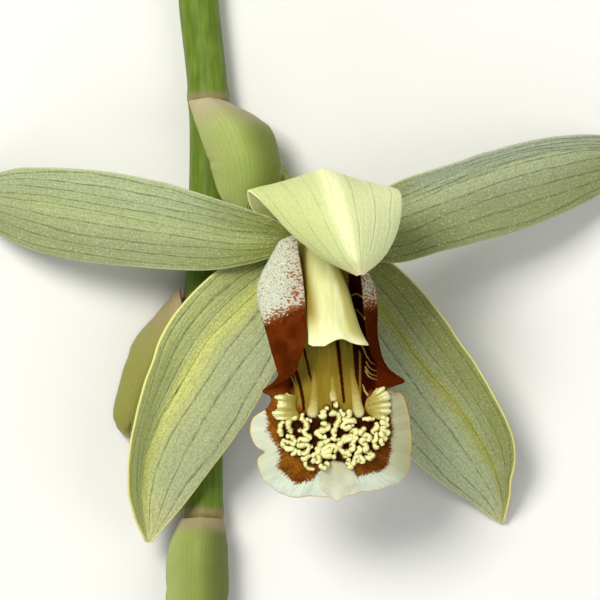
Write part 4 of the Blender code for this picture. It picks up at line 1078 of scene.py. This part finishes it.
def ball(name, centre, reach, sides, rows, pinch=0.0):
    # an ellipsoid on the column's directions, pinched twice round, most at its middle
    lift = np.linspace(0, math.pi, rows)[1:-1, None]
    turn = np.linspace(0, 2 * math.pi, sides, endpoint=False)[None]
    ring = np.stack([np.sin(lift) * np.cos(turn), np.sin(lift) * np.sin(turn),
                     np.cos(lift) * np.ones_like(turn)], -1)
    ring = ring * (1 - pinch * np.cos(turn * 2) * np.sin(lift))[..., None]
    ring = np.concatenate([ring.reshape(-1, 3), [[0, 0, 1.0], [0, 0, -1.0]]])
    axes = np.array([direction * size for direction, size in zip(columnDirections(), reach)])
    return putMesh(name, np.asarray(centre) + ring @ axes, *tubeFaces(rows - 2, sides))


def waxPaint(name, light, dark, roughness):
    # two near colours, mixed by fine noise
    paint = Paint(name, roughness, Subsurface_Weight=0.2, Subsurface_Scale=0.0005)
    fine = paint.noise(7.0, 3)
    paint.colour(paint.mix(paint.rise(fine, 0.3, 0.7), dark, light))
    paint.bump(fine, 0.03)
    return paint


def buildAnther():
    # a cap below the column's back, and two pairs of pollen masses above it
    along, lateral, dorsal = columnDirections()
    seat = np.array(anther["seat"])
    cap = ball("anther_cap_detail", seat - anther["drop"] * dorsal, anther["cap"], 40, 28,
               anther["pinch"])
    finishPiece(cap, "anther_cap", "anther_yellow",
                waxPaint("anther skin", (232, 216, 140), (200, 176, 84), 0.45))
    masses = [ball("pollinia_detail", seat + anther["spread"] * (side * lateral + depth * along),
                   anther["mass"], 20, 14) for side in (-1, 1) for depth in (-1, 1)]
    finishPiece(joined("pollinia_detail", masses), "pollinia", "pollen_yellow",
                waxPaint("pollen skin", (240, 204, 60), (206, 160, 30), 0.3))


buildColumn()
buildAnther()
print("column made")


# table, lights and camera

def buildStage():
    # a square table, and its paint
    half = 900
    table = putMesh("table", [(-half, -half, 0), (half, -half, 0), (half, half, 0),
                              (-half, half, 0)], [[0, 1, 2, 3]], [])
    paint = Paint("table paint", 0.75)
    paint.colour(paint.mix(paint.noise(0.02, 3), (226, 226, 222), (232, 232, 229)))
    paint.bump(paint.noise(2.0, 4), 0.01)
    table.data.materials.append(paint.material)


# each light's place, size, power and colour
lights = dict(
    key=((-0.3, 0.3, 0.6), 0.3, 5.2, (1.0, 0.98, 0.93)),
    fill=((0.45, -0.1, 0.5), 0.5, 1.3, (1.0, 1.0, 1.0)),
    low=((-0.1, -0.5, 0.35), 0.4, 0.7, (1.0, 1.0, 1.0)))
roomLight = 0.28


def buildLights():
    # square lamps turned to a place just over the table's middle, and an even white room
    for name, (place, size, power, colour) in lights.items():
        data = bpy.data.lights.new(name, "AREA")
        data.size, data.energy, data.color = size, power, colour
        lamp = bpy.data.objects.new(name, data)
        lamp.location = place
        away = np.array(place) - np.array([0, 0, 0.01])
        lamp.rotation_euler = (math.acos(away[2] / np.linalg.norm(away)), 0,
                               math.atan2(away[1], away[0]) + math.pi / 2)
        bpy.context.collection.objects.link(lamp)
    world = bpy.data.worlds.new("room")
    world.use_nodes = True
    background = world.node_tree.nodes["Background"]
    background.inputs["Color"].default_value = (1, 1, 1, 1)
    background.inputs["Strength"].default_value = roomLight
    bpy.context.scene.world = world


def buildCamera():
    # straight down, with a long lens that shows 60 mm of the sharp plane
    data = bpy.data.cameras.new("camera")
    data.sensor_width, data.lens = 36.0, 480.0
    data.clip_start, data.clip_end = 0.01, 10.0
    camera = bpy.data.objects.new("camera", data)
    camera.location = (0, 0, cameraHeight * mm)
    bpy.context.collection.objects.link(camera)
    bpy.context.scene.camera = camera


buildStage()
buildLights()
buildCamera()
bpy.context.scene.view_settings.view_transform = "Standard"
print("stage set")
